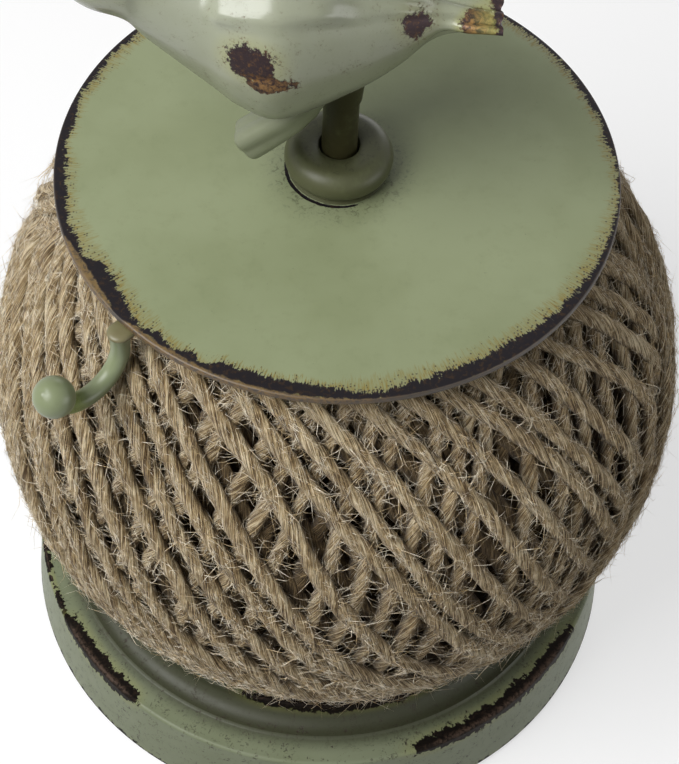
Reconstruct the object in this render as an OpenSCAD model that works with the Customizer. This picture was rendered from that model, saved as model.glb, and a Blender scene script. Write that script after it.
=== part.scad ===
// Table string holder: a stepped metal foot, a ball of twine on a spindle,
// a flat lid with a scissor hook, and a small cast bird as the finger grip.
// Millimetres. +Z is up, the origin is on the table under the spindle, -Y is the front.

/* [Foot] */
// Radius of the foot at its lower edge
foot_r = 60.5; // [56:0.5:75]
// Height of the outer wall
foot_wall_h = 16.5; // [10:0.5:30]
// How far the wall leans in towards its top
foot_lean = 1.4; // [0:0.1:3]
// Radius of the upper tier that carries the ball
tier_r = 49; // [44:0.5:51]
// Height of the upper tier above the ledge
tier_h = 5; // [3:0.5:10]
// Width of the hollow cove round the upper tier
cove_w = 4; // [2:0.5:5]
// Height of the small step where the cove meets the ledge
cove_step = 0.5; // [0.2:0.1:1]
// Wall thickness of the foot
foot_t = 1.6; // [1:0.1:3]
// Rounding of the foot's two upper edges
edge_r = 0.9; // [0.4:0.1:1.4]
// Width of the lip turned in under the foot
lip_w = 11; // [9:0.5:16]
// Diameter of one felt pad
pad_d = 8; // [5:0.5:9]
// Thickness of a felt pad
pad_h = 1; // [0.5:0.1:3]
// Number of felt pads
pad_count = 4; // [3:1:8]

/* [Spindle] */
// Diameter of the spindle rod
rod_d = 6; // [4:0.5:8]
// Length of thread that holds the rod in its nut
thread_len = 8; // [5:0.5:10]
// How far the rod stands out below its nut
rod_tail = 2; // [0:0.5:4]
// Size of the nut across its flats
nut_af = 11; // [10:0.5:16]
// Diameter of the nut's welded flange
flange_d = 22; // [16:0.5:30]
// Thickness of the nut's welded flange
flange_t = 2; // [1:0.5:3]

/* [Twine ball] */
// Radius of the ball at its widest
ball_r = 63.5; // [58:0.5:72]
// Height of the ball between the foot and the lid
ball_h = 103.5; // [95:0.5:115]
// Height of the widest place above the foot
belly_h = 49.5; // [45:0.5:56]
// Fullness of the shoulders: the curve's half axis over the half height
fullness = 1.29; // [1.26:0.01:1.34]
// Diameter of the twine
twine_d = 3; // [2:0.1:3.4]
// Number of wound loops
loops = 24; // [12:1:24]
// Latitude, in degrees, where the twine turns back
turn_lat = 57; // [52:1:60]
// Play between strands where they cross
cross_play = 2; // [1.6:0.1:3]
// Radius of the hole through the ball
ball_bore_r = 8; // [6:0.5:12]

/* [Lid] */
// Radius of the lid
lid_r = 48; // [44:0.5:56]
// Thickness of the lid
lid_t = 1.5; // [1:0.1:3]
// Rounding of the lid's edge
lid_edge_r = 0.5; // [0.2:0.1:0.7]
// Radius of the collar at its widest
collar_r = 9.2; // [8:0.1:14]
// Height of the collar
collar_h = 6.1; // [4:0.1:10]
// Radius of the collar's spigot in the lid
spigot_r = 5; // [4.5:0.1:6]
// Radius of the retaining washer under the lid
washer_r = 9; // [7.5:0.5:14]
// Thickness of the retaining washer
washer_t = 1; // [0.8:0.1:1.5]

/* [Hook] */
// Diameter of the hook wire
wire_d = 3.3; // [2.5:0.1:4]
// How far the hook stands out clear of the twine
hook_out = 0.6; // [0.4:0.1:3]
// Straight drop of the shank below the lid
hook_drop = 4.1; // [3:0.1:5]
// Radius of the bend at the middle of the wire
hook_bend_r = 7; // [6:0.1:10]
// Turn of the bend, in degrees
hook_turn = 172; // [140:1:180]
// Diameter of the bead on the hook's tip
bead_d = 7; // [5.5:0.1:9]
// Place of the hook round the lid, in degrees
hook_az = 227; // [180:1:270]
// Width of the welded tab under the lid
tab_w = 5.2; // [4:0.1:8]
// Length of the tab's welded part under the lid
tab_l = 3.7; // [3:0.1:8]
// Thickness of the welded tab
tab_t = 1.2; // [0.8:0.1:2]

/* [Bird] */
// Height of the belly above the lid
perch_h = 19.6; // [16:0.1:30]
// Width of the body
body_w = 34.8; // [28:0.2:40]
// Height of the body
body_h = 34.8; // [30:0.2:42]
// Length of the body
body_l = 40; // [36:0.5:46]
// How far the body's fullest place lies in front of the spindle
body_fwd = 8.7; // [6:0.1:12]
// Diameter of the head
head_d = 21; // [17:0.2:24]
// How far the head lies in front of the spindle
head_fwd = 34.5; // [32:0.1:40]
// How far the head lies above the body's middle
head_up = 9.8; // [6:0.1:14]
// Length of the beak
beak_l = 6; // [4:0.1:9]
// How far the tail reaches behind the spindle
tail_back = 24; // [21:0.1:34]
// Width of the tail
tail_w = 14.4; // [12:0.2:20]
// Thickness of the tail at its end
tail_t = 3; // [2:0.1:4]
// How far the tail lies above the body's middle
tail_up = 3.3; // [0:0.1:6]
// How far the feet reach in front of the spindle
claw_fwd = 15.4; // [13:0.1:20]
// How far the feet hang below the belly
claw_drop = 7.6; // [4:0.1:9]
// How far the folded wings stand out of the body
wing_t = 1.2; // [0.6:0.1:2]
// Diameter of a tucked-up foot
claw_d = 6; // [4:0.1:7]
// Length of a tucked-up foot
claw_l = 13; // [11:0.1:16]
// Space between the two feet, middle to middle
claw_gap = 12; // [9:0.1:15]
// Radius of the flared socket where the spindle enters
flare_r = 6.2; // [5:0.1:8]
// Height of the flared socket below the belly
flare_h = 4; // [2:0.1:6]

/* [Fits] */
// Radial clearance of the spindle in its bores
run_clear = 0.06; // [0.02:0.01:0.1]
// Clearance between turning flat faces
face_clear = 0.1; // [0.05:0.05:0.2]
// Clearance round the twine where it lies on the foot and under the lid
soft_clear = 0.3; // [0.2:0.1:0.6]
// Radial clearance of a pressed-on piece
press_clear = 0.03; // [0.01:0.01:0.05]
// Radial clearance of the spindle in the foot's hole
hole_clear = 0.4; // [0.3:0.1:1]

/* [Hidden] */
$fn = 96;

SAGE = "#98a283";
STEEL = "#8d8f8c";
FELT = "#5b5a55";
TWINE = "#b49a6e";

// Heights, from the table up
ledge_z = pad_h + foot_wall_h;
seat_z = ledge_z + tier_h;
seat_under_z = seat_z - foot_t;
lid_z = seat_z + ball_h;
lid_top_z = lid_z + lid_t;
collar_z = lid_top_z + face_clear;
bird_mid_z = lid_top_z + perch_h + body_h / 2;
nut_z = seat_under_z - flange_t - thread_len;
rod_bottom_z = nut_z - rod_tail;
rod_top_z = bird_mid_z - 4;

rod_r = rod_d / 2;
bore_r = rod_r + run_clear;

// Smooth step from 0 to 1, flat at both ends
function clamp01(x) = min(max(x, 0), 1);
function ease(x) = let (c = clamp01(x)) c * c * (3 - 2 * c);
function unit(v) = v / norm(v);
// Points on an arc round c with half axes a and b, from angle t0 to t1
function arc(c, a, b, t0, t1, steps) =
    [for (i = [0:steps]) let (t = t0 + (t1 - t0) * i / steps) [c[0] + a * cos(t), c[1] + b * sin(t)]];

// Side faces between consecutive rings of n points, then both ends, all as triangles
function tube_faces(rings, n) = concat(
    [for (i = [0:rings - 2], j = [0:n - 1]) [i * n + j, (i + 1) * n + j, i * n + (j + 1) % n]],
    [for (i = [0:rings - 2], j = [0:n - 1])
        [i * n + (j + 1) % n, (i + 1) * n + j, (i + 1) * n + (j + 1) % n]],
    [for (j = [1:n - 2]) [0, j, j + 1]],
    [for (j = [1:n - 2]) [(rings - 1) * n, (rings - 1) * n + j + 1, (rings - 1) * n + j]]
);

// Foot
wall_top_r = foot_r - foot_lean;
cove_r = tier_r + cove_w;
cove_h = tier_h - cove_step - edge_r;

module foot_shell() {
    outside = concat(
        [[foot_r, pad_h]],
        arc([wall_top_r - edge_r, ledge_z - edge_r], edge_r, edge_r, 0, 90, 6),
        [[cove_r + cove_step, ledge_z]],
        arc([cove_r, ledge_z + cove_step + cove_h], cove_w, cove_h, 270, 180, 10),
        arc([tier_r - edge_r, seat_z - edge_r], edge_r, edge_r, 0, 90, 6)
    );
    inside = [
        [rod_r + hole_clear, seat_z],
        [rod_r + hole_clear, seat_under_z],
        [tier_r - foot_t, seat_under_z],
        [tier_r - foot_t, ledge_z - foot_t],
        [wall_top_r - foot_t, ledge_z - foot_t],
        [foot_r - foot_t, pad_h + foot_t],
        [foot_r - lip_w, pad_h + foot_t],
        [foot_r - lip_w, pad_h]
    ];
    color(SAGE) rotate_extrude() polygon(concat(outside, inside));
}

module felt_pads() {
    color(FELT)
        for (i = [0:pad_count - 1])
            rotate([0, 0, (i + 0.5) * 360 / pad_count])
                translate([foot_r - lip_w / 2, 0, 0])
                    cylinder(h = pad_h, d = pad_d);
}

// Spindle
module spindle_nut() {
    color(STEEL) difference() {
        union() {
            translate([0, 0, seat_under_z - flange_t]) cylinder(h = flange_t, d = flange_d);
            translate([0, 0, nut_z]) cylinder(h = thread_len, r = nut_af / 2 / cos(30), $fn = 6);
        }
        translate([0, 0, nut_z - 1]) cylinder(h = thread_len + flange_t + 2, r = bore_r);
    }
}

module spindle_rod() {
    point_h = rod_r / 3;
    color(SAGE) {
        translate([0, 0, rod_bottom_z + point_h]) cylinder(h = rod_top_z - rod_bottom_z - point_h, r = rod_r);
        translate([0, 0, rod_bottom_z]) cylinder(h = point_h, r1 = rod_r - point_h, r2 = rod_r);
    }
}

// Twine ball: the curve that the middle of the outermost strands follows, by latitude
strand_r = ball_r - twine_d / 2;
ball_z = seat_z + belly_h;
half_up = ball_h - belly_h - soft_clear - twine_d / 2;
half_down = belly_h - soft_clear - twine_d / 2;
flat_from = 2 / fullness - sin(turn_lat);
flat_rate = fullness / 2 / (sin(turn_lat) - flat_from);
layer_step = twine_d + cross_play;
core_play = 1.2;
core_in = layer_step + twine_d / 2 + core_play;
hub_r = strand_r * cos(turn_lat) - twine_d / 2 - soft_clear;
hub_top_z = lid_z - washer_t - 2 * face_clear - 1.5;

function half_of(lat) = lat > 0 ? half_up : half_down;
function excess(lat) = max(0, abs(sin(lat)) - flat_from);
function curve_z(lat) =
    sign(lat) * half_of(lat) * (fullness * abs(sin(lat)) - flat_rate * pow(excess(lat), 2));
function curve_dz(lat) = half_of(lat) * cos(lat) * (fullness - 2 * flat_rate * excess(lat));
function curve_normal(lat) = unit([curve_dz(lat), strand_r * sin(lat)]);
// Radius and height at a latitude, sunk by a depth below the outermost strands
function curve(lat, depth) = [strand_r * cos(lat), ball_z + curve_z(lat)] - depth * curve_normal(lat);

// The winding: one loop is a turn of 360, down the outside and up below it
wind_sharp = 0.7;
wind_ramp = 14;
ring_count = 24;
ring_crowd = 4;
function gcd(a, b) = b == 0 ? a : gcd(b, a % b);
// Steps of one pitch that a loop moves on, with no common divisor, so that all pitches fill
first_shift = round(0.708 * loops);
loop_shift = [for (i = [0:loops]) if (gcd(loops, first_shift + i) == 1) first_shift + i][0];
function wind_lat(t) = turn_lat * asin(wind_sharp * cos(t)) / asin(wind_sharp);
function wind_depth(t) = layer_step * (1 - ease(0.5 + sin(t) / (2 * sin(wind_ramp))));
function wind_point(t) =
    let (p = curve(wind_lat(t), wind_depth(t)), a = loop_shift * t / loops)
    [p[0] * cos(a), p[0] * sin(a), p[1]];
function ring_turn(i) = i * 360 / ring_count - ring_crowd * sin(2 * i * 360 / ring_count);

// Both ends leave the winding level, bend down and run straight into a hole in the core
wind_start = -26;
wind_end = 360 * loops - 48;
tuck_r = twine_d;
tuck_straight = twine_d;
tuck_play = 0.4;
function level(v) = unit([v[0], v[1], 0]);
function heading(t) = level(wind_point(t + 1) - wind_point(t - 1));
// From the hole's floor up to the point at t, where way is the level direction that the bend takes
function tuck(t, way) =
    let (top = wind_point(t), mid = top - [0, 0, tuck_r])
    concat(
        [mid - tuck_r * way - [0, 0, tuck_straight]],
        [for (a = [0:30:90]) mid + tuck_r * (sin(a) * [0, 0, 1] - cos(a) * way)]
    );
function reversed(v) = [for (i = [len(v) - 1:-1:0]) v[i]];
start_tuck = tuck(wind_start, heading(wind_start));
end_tuck = tuck(wind_end, -heading(wind_end));
wind_path = concat(
    start_tuck,
    [for (i = [-1:ring_count * loops]) let (t = ring_turn(i)) if (t < wind_end - 4) wind_point(t)],
    reversed(end_tuck)
);
tube_sides = 6;
last_ring = len(wind_path) - 1;
function path_way(i) = unit(wind_path[min(i + 1, last_ring)] - wind_path[max(i - 1, 0)]);
function wind_ring(i) =
    let (way = path_way(i), side = unit(cross(way, wind_path[i] - [0, 0, ball_z])), out = cross(side, way))
    [for (j = [0:tube_sides - 1])
        let (a = j * 360 / tube_sides) wind_path[i] + twine_d / 2 * (cos(a) * out + sin(a) * side)];

// Least gap: points along one loop and both ends against points along the whole path
probe_parts = 4;
near_rings = 4;
function probe(i, k) = wind_path[i] + (wind_path[i + 1] - wind_path[i]) * k / probe_parts;
function probe_gap(i, k) =
    let (p = probe(i, k))
    min([for (j = [0:last_ring - 1]) if (abs(i - j) > near_rings)
        min([for (m = [0:probe_parts - 1]) norm(p - probe(j, m))])]);
probe_rings = concat([0:4], [for (i = [1:ring_count]) 4 * ring_count + i], [last_ring - 5:last_ring - 1]);
function least_gap() =
    min([for (i = [for (r = probe_rings) each r], k = [0:probe_parts - 1]) probe_gap(i, k)]) - twine_d;

module twine_core() {
    lats = [for (i = [0:28]) -turn_lat + i * turn_lat / 14];
    outline = concat(
        [[ball_bore_r, seat_z + soft_clear], [hub_r, seat_z + soft_clear]],
        [[hub_r, curve(-turn_lat, core_in)[1]]],
        [for (lat = lats) curve(lat, core_in)],
        [[hub_r, curve(turn_lat, core_in)[1]]],
        [[hub_r, hub_top_z], [ball_bore_r, hub_top_z]]
    );
    color(TWINE) difference() {
        rotate_extrude() polygon(outline);
        for (foot = [start_tuck[0], end_tuck[0]])
            translate(foot) cylinder(h = tuck_straight + 2 * tuck_r, r = twine_d / 2 + tuck_play);
    }
}

module twine_winding() {
    color(TWINE) polyhedron(
        points = [for (i = [0:last_ring]) each wind_ring(i)],
        faces = tube_faces(last_ring + 1, tube_sides)
    );
}

// Lid
module lid_disc() {
    outline = concat(
        [[spigot_r + run_clear, lid_z], [lid_r - lid_edge_r, lid_z]],
        arc([lid_r - lid_edge_r, lid_z + lid_edge_r], lid_edge_r, lid_edge_r, 270, 360, 5),
        arc([lid_r - lid_edge_r, lid_top_z - lid_edge_r], lid_edge_r, lid_edge_r, 0, 90, 5),
        [[spigot_r + run_clear, lid_top_z]]
    );
    color(SAGE) rotate_extrude() polygon(outline);
}

// A half-round bead with a shallow dished top, on a spigot that the lid turns on
module lid_collar() {
    round_r = 0.58 * collar_h;
    round_c = [collar_r - round_r, collar_z + collar_h - round_r];
    dish_r = round_c[0] - 0.3;
    dish_h = 0.35;
    relief_r = rod_r + hole_clear;
    relief_h = collar_h / 2;
    spigot_z = lid_z - washer_t - 2 * face_clear - 0.5;
    outline = concat(
        [[bore_r, spigot_z], [spigot_r, spigot_z], [spigot_r, collar_z]],
        arc(round_c, round_r, round_r, -asin((round_c[1] - collar_z) / round_r), 90, 14),
        [[dish_r, collar_z + collar_h - dish_h], [relief_r, collar_z + collar_h - dish_h]],
        [[relief_r, collar_z + relief_h], [bore_r, collar_z + relief_h]]
    );
    color(SAGE) rotate_extrude() polygon(outline);
}

module collar_washer() {
    color(STEEL) translate([0, 0, lid_z - face_clear - washer_t]) difference() {
        cylinder(h = washer_t, r = washer_r);
        translate([0, 0, -1]) cylinder(h = washer_t + 2, r = spigot_r + press_clear);
    }
}

// Hook: a welded tab, a straight shank, a round bend and a beaded tip, in one upright plane
// The bend lies as near to the spindle as the twine's shoulder and the lid's rim allow
bend_z = lid_z - hook_drop;
hook_reach = hook_bend_r + wire_d / 2 + hook_out;
rim_bend_x = lid_r + wire_d / 4 + hook_bend_r;
bend_x = max([rim_bend_x, for (lat = [0:0.5:turn_lat])
    let (p = curve(lat, -twine_d / 2), rise = bend_z - p[1])
    if (abs(rise) < hook_reach) p[0] + sqrt(hook_reach * hook_reach - rise * rise)]);
shank_x = bend_x - hook_bend_r;
tab_x = min(lid_r, shank_x) - tab_l;
// Round bar bent in the hook's plane, of radius r, from the shank's end on through a turn
module bent_bar(r, turn) {
    rotate([0, 0, hook_az]) translate([bend_x, 0, bend_z]) rotate([90, 0, 0]) rotate([0, 0, 180])
        rotate_extrude(angle = turn) translate([hook_bend_r, 0]) circle(r = r);
}

module scissor_hook() {
    color(SAGE) {
        rotate([0, 0, hook_az]) translate([0, 0, lid_z - tab_t]) {
            translate([tab_x, -tab_w / 2, 0]) cube([shank_x - tab_x, tab_w, tab_t]);
            translate([shank_x, 0, 0]) cylinder(h = tab_t, d = tab_w);
            translate([tab_x, 0, 0]) cylinder(h = tab_t, d = tab_w);
        }
        rotate([0, 0, hook_az]) translate([shank_x, 0, bend_z])
            cylinder(h = hook_drop - tab_t / 2, d = wire_d);
        bent_bar(wire_d / 2, hook_turn);
    }
}

// The bead sits with its middle on the end of the wire
module hook_bead() {
    tip_x = bend_x - hook_bend_r * cos(hook_turn);
    tip_z = bend_z - hook_bend_r * sin(hook_turn);
    color(SAGE) difference() {
        rotate([0, 0, hook_az]) translate([tip_x, 0, tip_z]) sphere(d = bead_d);
        bent_bar(wire_d / 2 + press_clear, hook_turn + 0.3);
    }
}

// Bird: a loft through upright oval sections, from the beak back to the tail.
// Each row: place along X, height above the body's middle, half width, half height, squareness.
body_hw = body_w / 2;
body_hh = body_h / 2;
head_hr = head_d / 2;
neck_x = -(head_fwd + body_fwd + 0.30 * body_l) / 2 - 2.5;
function oval(x, up, share_w, share_h, square) = [x, up, share_w, share_h, square];
bird_rows = [
    oval(-head_fwd - 1.14 * head_hr - beak_l, head_up - 1.6, 0.5, 0.5, 2),
    oval(-head_fwd - 1.14 * head_hr, head_up - 0.6, 0.33 * head_hr, 0.3 * head_hr, 2),
    oval(-head_fwd - 0.82 * head_hr, head_up + 0.1, 0.65 * head_hr, 0.65 * head_hr, 2),
    oval(-head_fwd - 0.43 * head_hr, head_up + 0.2, 0.88 * head_hr, 0.89 * head_hr, 2),
    oval(-head_fwd + 0.1 * head_hr, head_up, head_hr, head_hr, 2),
    oval(neck_x, 0.62 * head_up, head_hr, 1.01 * head_hr, 2),
    oval(-body_fwd - 0.30 * body_l, 0.15 * head_up, 0.71 * body_hw, 0.71 * body_hh, 2),
    oval(-body_fwd - 0.16 * body_l, 0, 0.925 * body_hw, 0.925 * body_hh, 2),
    oval(-body_fwd, 0, body_hw, body_hh, 2),
    oval(-body_fwd + 0.27 * body_l, 0.2, 0.725 * body_hw, 0.725 * body_hh, 2.1),
    oval(-body_fwd + 0.43 * body_l, 0.4 * tail_up, 0.53 * body_hw, 0.53 * body_hh, 2.2),
    oval(-body_fwd + 0.57 * body_l, 0.8 * tail_up, 0.42 * tail_w, 0.27 * body_hh, 2.4),
    oval((tail_back - body_fwd + 0.6 * body_l) / 2, tail_up, 0.47 * tail_w, 0.75 * tail_t, 3),
    oval(tail_back, tail_up + 0.2, tail_w / 2, tail_t / 2, 4)
];
rows_last = len(bird_rows) - 1;
row_parts = 4;
oval_sides = 48;
function spline(a, b, c, d, t) =
    0.5 * (2 * b + (c - a) * t + (2 * a - 5 * b + 4 * c - d) * t * t + (3 * b - a - 3 * c + d) * t * t * t);
function bird_row(u) =
    let (i = min(floor(u), rows_last - 1))
    spline(bird_rows[max(i - 1, 0)], bird_rows[i], bird_rows[i + 1], bird_rows[min(i + 2, rows_last)], u - i);
function signed_pow(x, e) = sign(x) * pow(abs(x), e);
// The folded wing: a raised patch high on each side, which draws in towards the tail
wing_front_x = -body_fwd - 0.24 * body_l;
wing_back_x = -body_fwd + 0.6 * body_l;
wing_low = 30;
wing_high = 84;
wing_soft = 10;
function wing_rise(x, a) =
    let (side = abs(a) > 90 ? 180 - abs(a) : abs(a), above = a >= 0 ? side : -side,
         along = clamp01((x - wing_front_x) / (wing_back_x - wing_front_x)),
         low = wing_low + wing_soft * along, high = wing_high - wing_soft * along)
    wing_t * ease((x - wing_front_x) / 4) * ease((wing_back_x - x) / 6)
        * ease((above - low) / wing_soft) * ease((high - above) / wing_soft);
function bird_point(row, a) =
    let (e = 2 / row[4], rise = wing_rise(row[0], a > 180 ? a - 360 : a))
    [row[0], (row[2] + rise) * signed_pow(cos(a), e), bird_mid_z + row[1] + (row[3] + rise) * signed_pow(sin(a), e)];
bird_rings = rows_last * row_parts + 1;

module bird_loft() {
    polyhedron(
        points = [for (i = [0:bird_rings - 1], j = [0:oval_sides - 1])
            bird_point(bird_row(i / row_parts), (j + 0.5) * 360 / oval_sides)],
        faces = tube_faces(bird_rings, oval_sides)
    );
}

// A tucked-up foot: a round bar with a softened end, pointing forward and down, rooted in the belly
claw_pitch = 130;
claw_root = 3;
claw_full = claw_l + claw_root;
module claw() {
    soft = claw_d / 5;
    outline = concat(
        [[0, 0], [claw_d / 2, 0]],
        arc([claw_d / 2 - soft, claw_full - soft], soft, soft, 0, 90, 6),
        [[0, claw_full]]
    );
    rotate_extrude() polygon(outline);
}

module bird_body() {
    belly_z = bird_mid_z - body_hh;
    socket_z = belly_z - flare_h + 2;
    flare = concat(
        [[0, socket_z], [rod_r + 0.9, socket_z]],
        arc([flare_r, socket_z], flare_r - rod_r - 0.9, flare_h, 180, 90, 8),
        [[flare_r, bird_mid_z - 6], [0, bird_mid_z - 6]]
    );
    color(SAGE) difference() {
        union() {
            bird_loft();
            rotate_extrude() polygon(flare);
            for (side = [-1, 1])
                translate([-claw_fwd, side * claw_gap / 2, belly_z - claw_drop])
                    rotate([0, -claw_pitch, 0]) translate([0, 0, -claw_full]) claw();
        }
        translate([0, 0, socket_z - 1]) cylinder(h = rod_top_z + face_clear - socket_z + 1, r = bore_r);
    }
}

echo(least_gap_mm = least_gap());  // twine_winding

foot_shell();
felt_pads();
spindle_nut();
spindle_rod();
twine_core();
twine_winding();
lid_disc();
lid_collar();
collar_washer();
scissor_hook();
hook_bead();
bird_body();
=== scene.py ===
"""Table string holder: worn sage paint, a cross-wound ball of jute and a small bird."""
import logging
import math
from dataclasses import dataclass
from enum import Enum
from typing import Any, Callable, Optional, Sequence

import bpy
import numpy as np
from mathutils import Matrix, Vector


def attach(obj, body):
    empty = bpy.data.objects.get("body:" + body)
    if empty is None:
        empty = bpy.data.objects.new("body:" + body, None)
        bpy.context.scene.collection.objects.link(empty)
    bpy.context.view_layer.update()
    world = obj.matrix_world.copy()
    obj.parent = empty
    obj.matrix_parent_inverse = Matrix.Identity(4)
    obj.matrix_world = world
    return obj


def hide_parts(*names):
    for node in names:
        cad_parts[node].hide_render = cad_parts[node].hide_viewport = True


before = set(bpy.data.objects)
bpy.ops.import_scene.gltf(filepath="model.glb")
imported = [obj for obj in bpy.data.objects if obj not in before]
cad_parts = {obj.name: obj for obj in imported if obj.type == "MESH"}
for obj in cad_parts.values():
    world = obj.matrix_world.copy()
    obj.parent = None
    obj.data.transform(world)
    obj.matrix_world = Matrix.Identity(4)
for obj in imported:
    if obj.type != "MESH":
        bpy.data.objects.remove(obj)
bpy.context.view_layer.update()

log = logging.getLogger("string_holder")
MM = 0.001
FULL_TURN = 2 * math.pi
# point attribute names: the lid's rim wear, and painted shade on the twine
RIM_WEAR, PAINTED_SHADE = "rim_wear", "sunk"
Array, Rng = np.ndarray, np.random.Generator
Piece, Material = bpy.types.Object, bpy.types.Material
Point = tuple[float, float, float]
Colour = tuple[float, float, float, float]
Outline = list[tuple[float, float]]
Rows = Sequence[tuple[float, ...]]


class Body(str, Enum):
    """The bodies that new pieces ride on."""
    BASE = "base"
    BALL = "ball"
    HUB = "lid_hub"
    LID = "lid"
    BIRD = "bird"


class Slot(str, Enum):
    """The record's slots for new pieces; kept solids have their own."""
    PAINT = "sage_paint"
    JUTE = "jute"


def tint(*screen: int) -> Colour:
    """Turn a screen colour of 0 to 255 into linear light with full alpha."""
    shares = (level / 255 for level in screen)
    return (*(s / 12.92 if s <= 0.04045 else ((s + 0.055) / 1.055) ** 2.4 for s in shares), 1.0)


def grey(level: float) -> Colour:
    """A shader grey."""
    return level, level, level, 1.0


# ---------------------------------------------------------------- shader maths

def two_terms(operation: str, swapped: bool = False) -> Callable[["Shade", Any], "Shade"]:
    """A method that adds one Math node over a shade and another term."""
    def add_node(shade: "Shade", other: Any) -> "Shade":
        """Add the node, with its terms swapped or not."""
        return shade.math(operation, other, shade) if swapped else shade.math(operation, shade, other)
    return add_node


class Shade:
    """One node output, with arithmetic that adds Math nodes."""
    __add__, __radd__ = two_terms("ADD"), two_terms("ADD", True)
    __sub__, __rsub__ = two_terms("SUBTRACT"), two_terms("SUBTRACT", True)
    __mul__, __rmul__ = two_terms("MULTIPLY"), two_terms("MULTIPLY", True)
    __truediv__, __pow__ = two_terms("DIVIDE"), two_terms("POWER")
    most, least = two_terms("MAXIMUM"), two_terms("MINIMUM")

    def __init__(self, bench: "NodeBench", socket: Any) -> None:
        """Wrap a socket of a bench."""
        self.bench = bench
        self.socket = socket

    def math(self, operation: str, *terms: Any) -> "Shade":
        """Add one Math node over the given terms."""
        return self.bench.node("Math", dict(enumerate(terms)), operation=operation)

    def rise(self, low: float, high: float) -> "Shade":
        """A soft step from 0 at low to 1 at high."""
        return self.bench.node("MapRange", {"Value": self, "From Min": low, "From Max": high},
                               interpolation_type="SMOOTHSTEP")

    def fall(self, low: float, high: float) -> "Shade":
        """A soft step from 1 at low to 0 at high."""
        return 1 - self.rise(low, high)


class NodeBench:
    """A material's node tree, filled through one method."""

    def __init__(self, name: str) -> None:
        """Start an empty material."""
        self.material = bpy.data.materials.new(name)
        self.material.use_nodes = True
        self.tree = self.material.node_tree
        self.tree.nodes.clear()

    def node(self, kind: str, sockets: dict, out: Any = 0, **settings: Any) -> Shade:
        """Add a shader node.

        Args:
            kind: its type, without the common start of the name.
            sockets: values or links by socket name or number.
            out: the output to hand back.
            settings: attributes set before the sockets; stops fills a colour ramp.
        Returns:
            The chosen output.
        """
        made = self.tree.nodes.new("ShaderNode" + kind)
        for key, value in settings.items():
            if key == "stops":
                ramp = made.color_ramp.elements
                while len(ramp) < len(value):
                    ramp.new(1.0)
                for stop, (place, colour) in zip(ramp, value):
                    stop.position, stop.color = place, colour
            else:
                setattr(made, key, value)
        for key, value in sockets.items():
            if isinstance(value, Shade):
                self.tree.links.new(value.socket, made.inputs[key])
            else:
                made.inputs[key].default_value = value
        return Shade(self, made.outputs[out])

    def mix(self, factor: Any, first: Any, second: Any) -> Shade:
        """Blend two colours by a factor."""
        return self.node("Mix", {0: factor, 6: first, 7: second}, 2, data_type="RGBA")

    def scaled(self, vector: Shade, by: Point) -> Shade:
        """Multiply a vector part by part."""
        return self.node("VectorMath", {0: vector, 1: by}, operation="MULTIPLY")

    def place(self) -> Shade:
        """The piece's own coordinates, in millimetres."""
        return self.scaled(self.node("TexCoord", {}, "Object"), (1000.0, 1000.0, 1000.0))

    def parts(self, vector: Shade) -> tuple[Shade, Shade, Shade]:
        """Split a vector into three values."""
        outs = self.node("SeparateXYZ", {0: vector}).socket.node.outputs
        return tuple(Shade(self, out) for out in outs)

    def noted(self, name: str) -> tuple[Shade, Shade, Shade]:
        """The three numbers noted on a piece's points."""
        return self.parts(self.node("Attribute", {}, "Vector", attribute_name=name))

    def join(self, x: Any, y: Any, z: Any) -> Shade:
        """Make a vector of three values."""
        return self.node("CombineXYZ", {0: x, 1: y, 2: z})

    def noise(self, vector: Shade, scale: float, detail: float = 3.0, rough: float = 0.55,
              warp: float = 0.0) -> Shade:
        """Cloudy noise between 0 and 1."""
        return self.node("TexNoise", {
            "Vector": vector, "Scale": scale, "Detail": detail, "Roughness": rough, "Distortion": warp})

    def finish(self, colour: Any, roughness: Any, height: Optional[Shade] = None, depth: float = 0.0001,
               strength: float = 0.5, **fixed: Any) -> Material:
        """Close the material with its shader.

        Args:
            colour, roughness: the surface.
            height: relief for the bump, if any.
            depth, strength: how deep a relief of 1 is, in metres, and how strongly it shows.
            fixed: the shader's other sockets, with _ for a blank.
        Returns:
            The material.
        """
        sockets: dict[str, Any] = {"Base Color": colour, "Roughness": roughness}
        if height is not None:
            sockets["Normal"] = self.node(
                "Bump", {"Height": height, "Distance": depth, "Strength": strength})
        sockets.update({key.replace("_", " "): value for key, value in fixed.items()})
        self.end("Material", self.node("BsdfPrincipled", sockets))
        return self.material

    def end(self, kind: str, shader: Shade) -> None:
        """Link a shader to the tree's output."""
        self.tree.links.new(shader.socket, self.tree.nodes.new("ShaderNodeOutput" + kind).inputs["Surface"])


# ---------------------------------------------------------------- finishes

@dataclass(frozen=True)
class Wear:
    """A place where the paint is worn; near() is 1 there and 0 at its reach, and chips start at cut."""
    reach: float = 3.0
    cut: float = 0.46
    ragged: float = 1.0
    halo: float = 0.7
    bristle: float = 0.8
    bare: float = 0.0

    def near(self, bench: NodeBench, spot: Shade) -> Shade:
        """Closeness to the worn place."""
        raise NotImplementedError

    def fray(self, bench: NodeBench, spot: Shade) -> Shade:
        """Fine noise that frays the worn place's border."""
        return bench.noise(spot, 1.7, 4.0, 0.62, 0.4)


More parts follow.
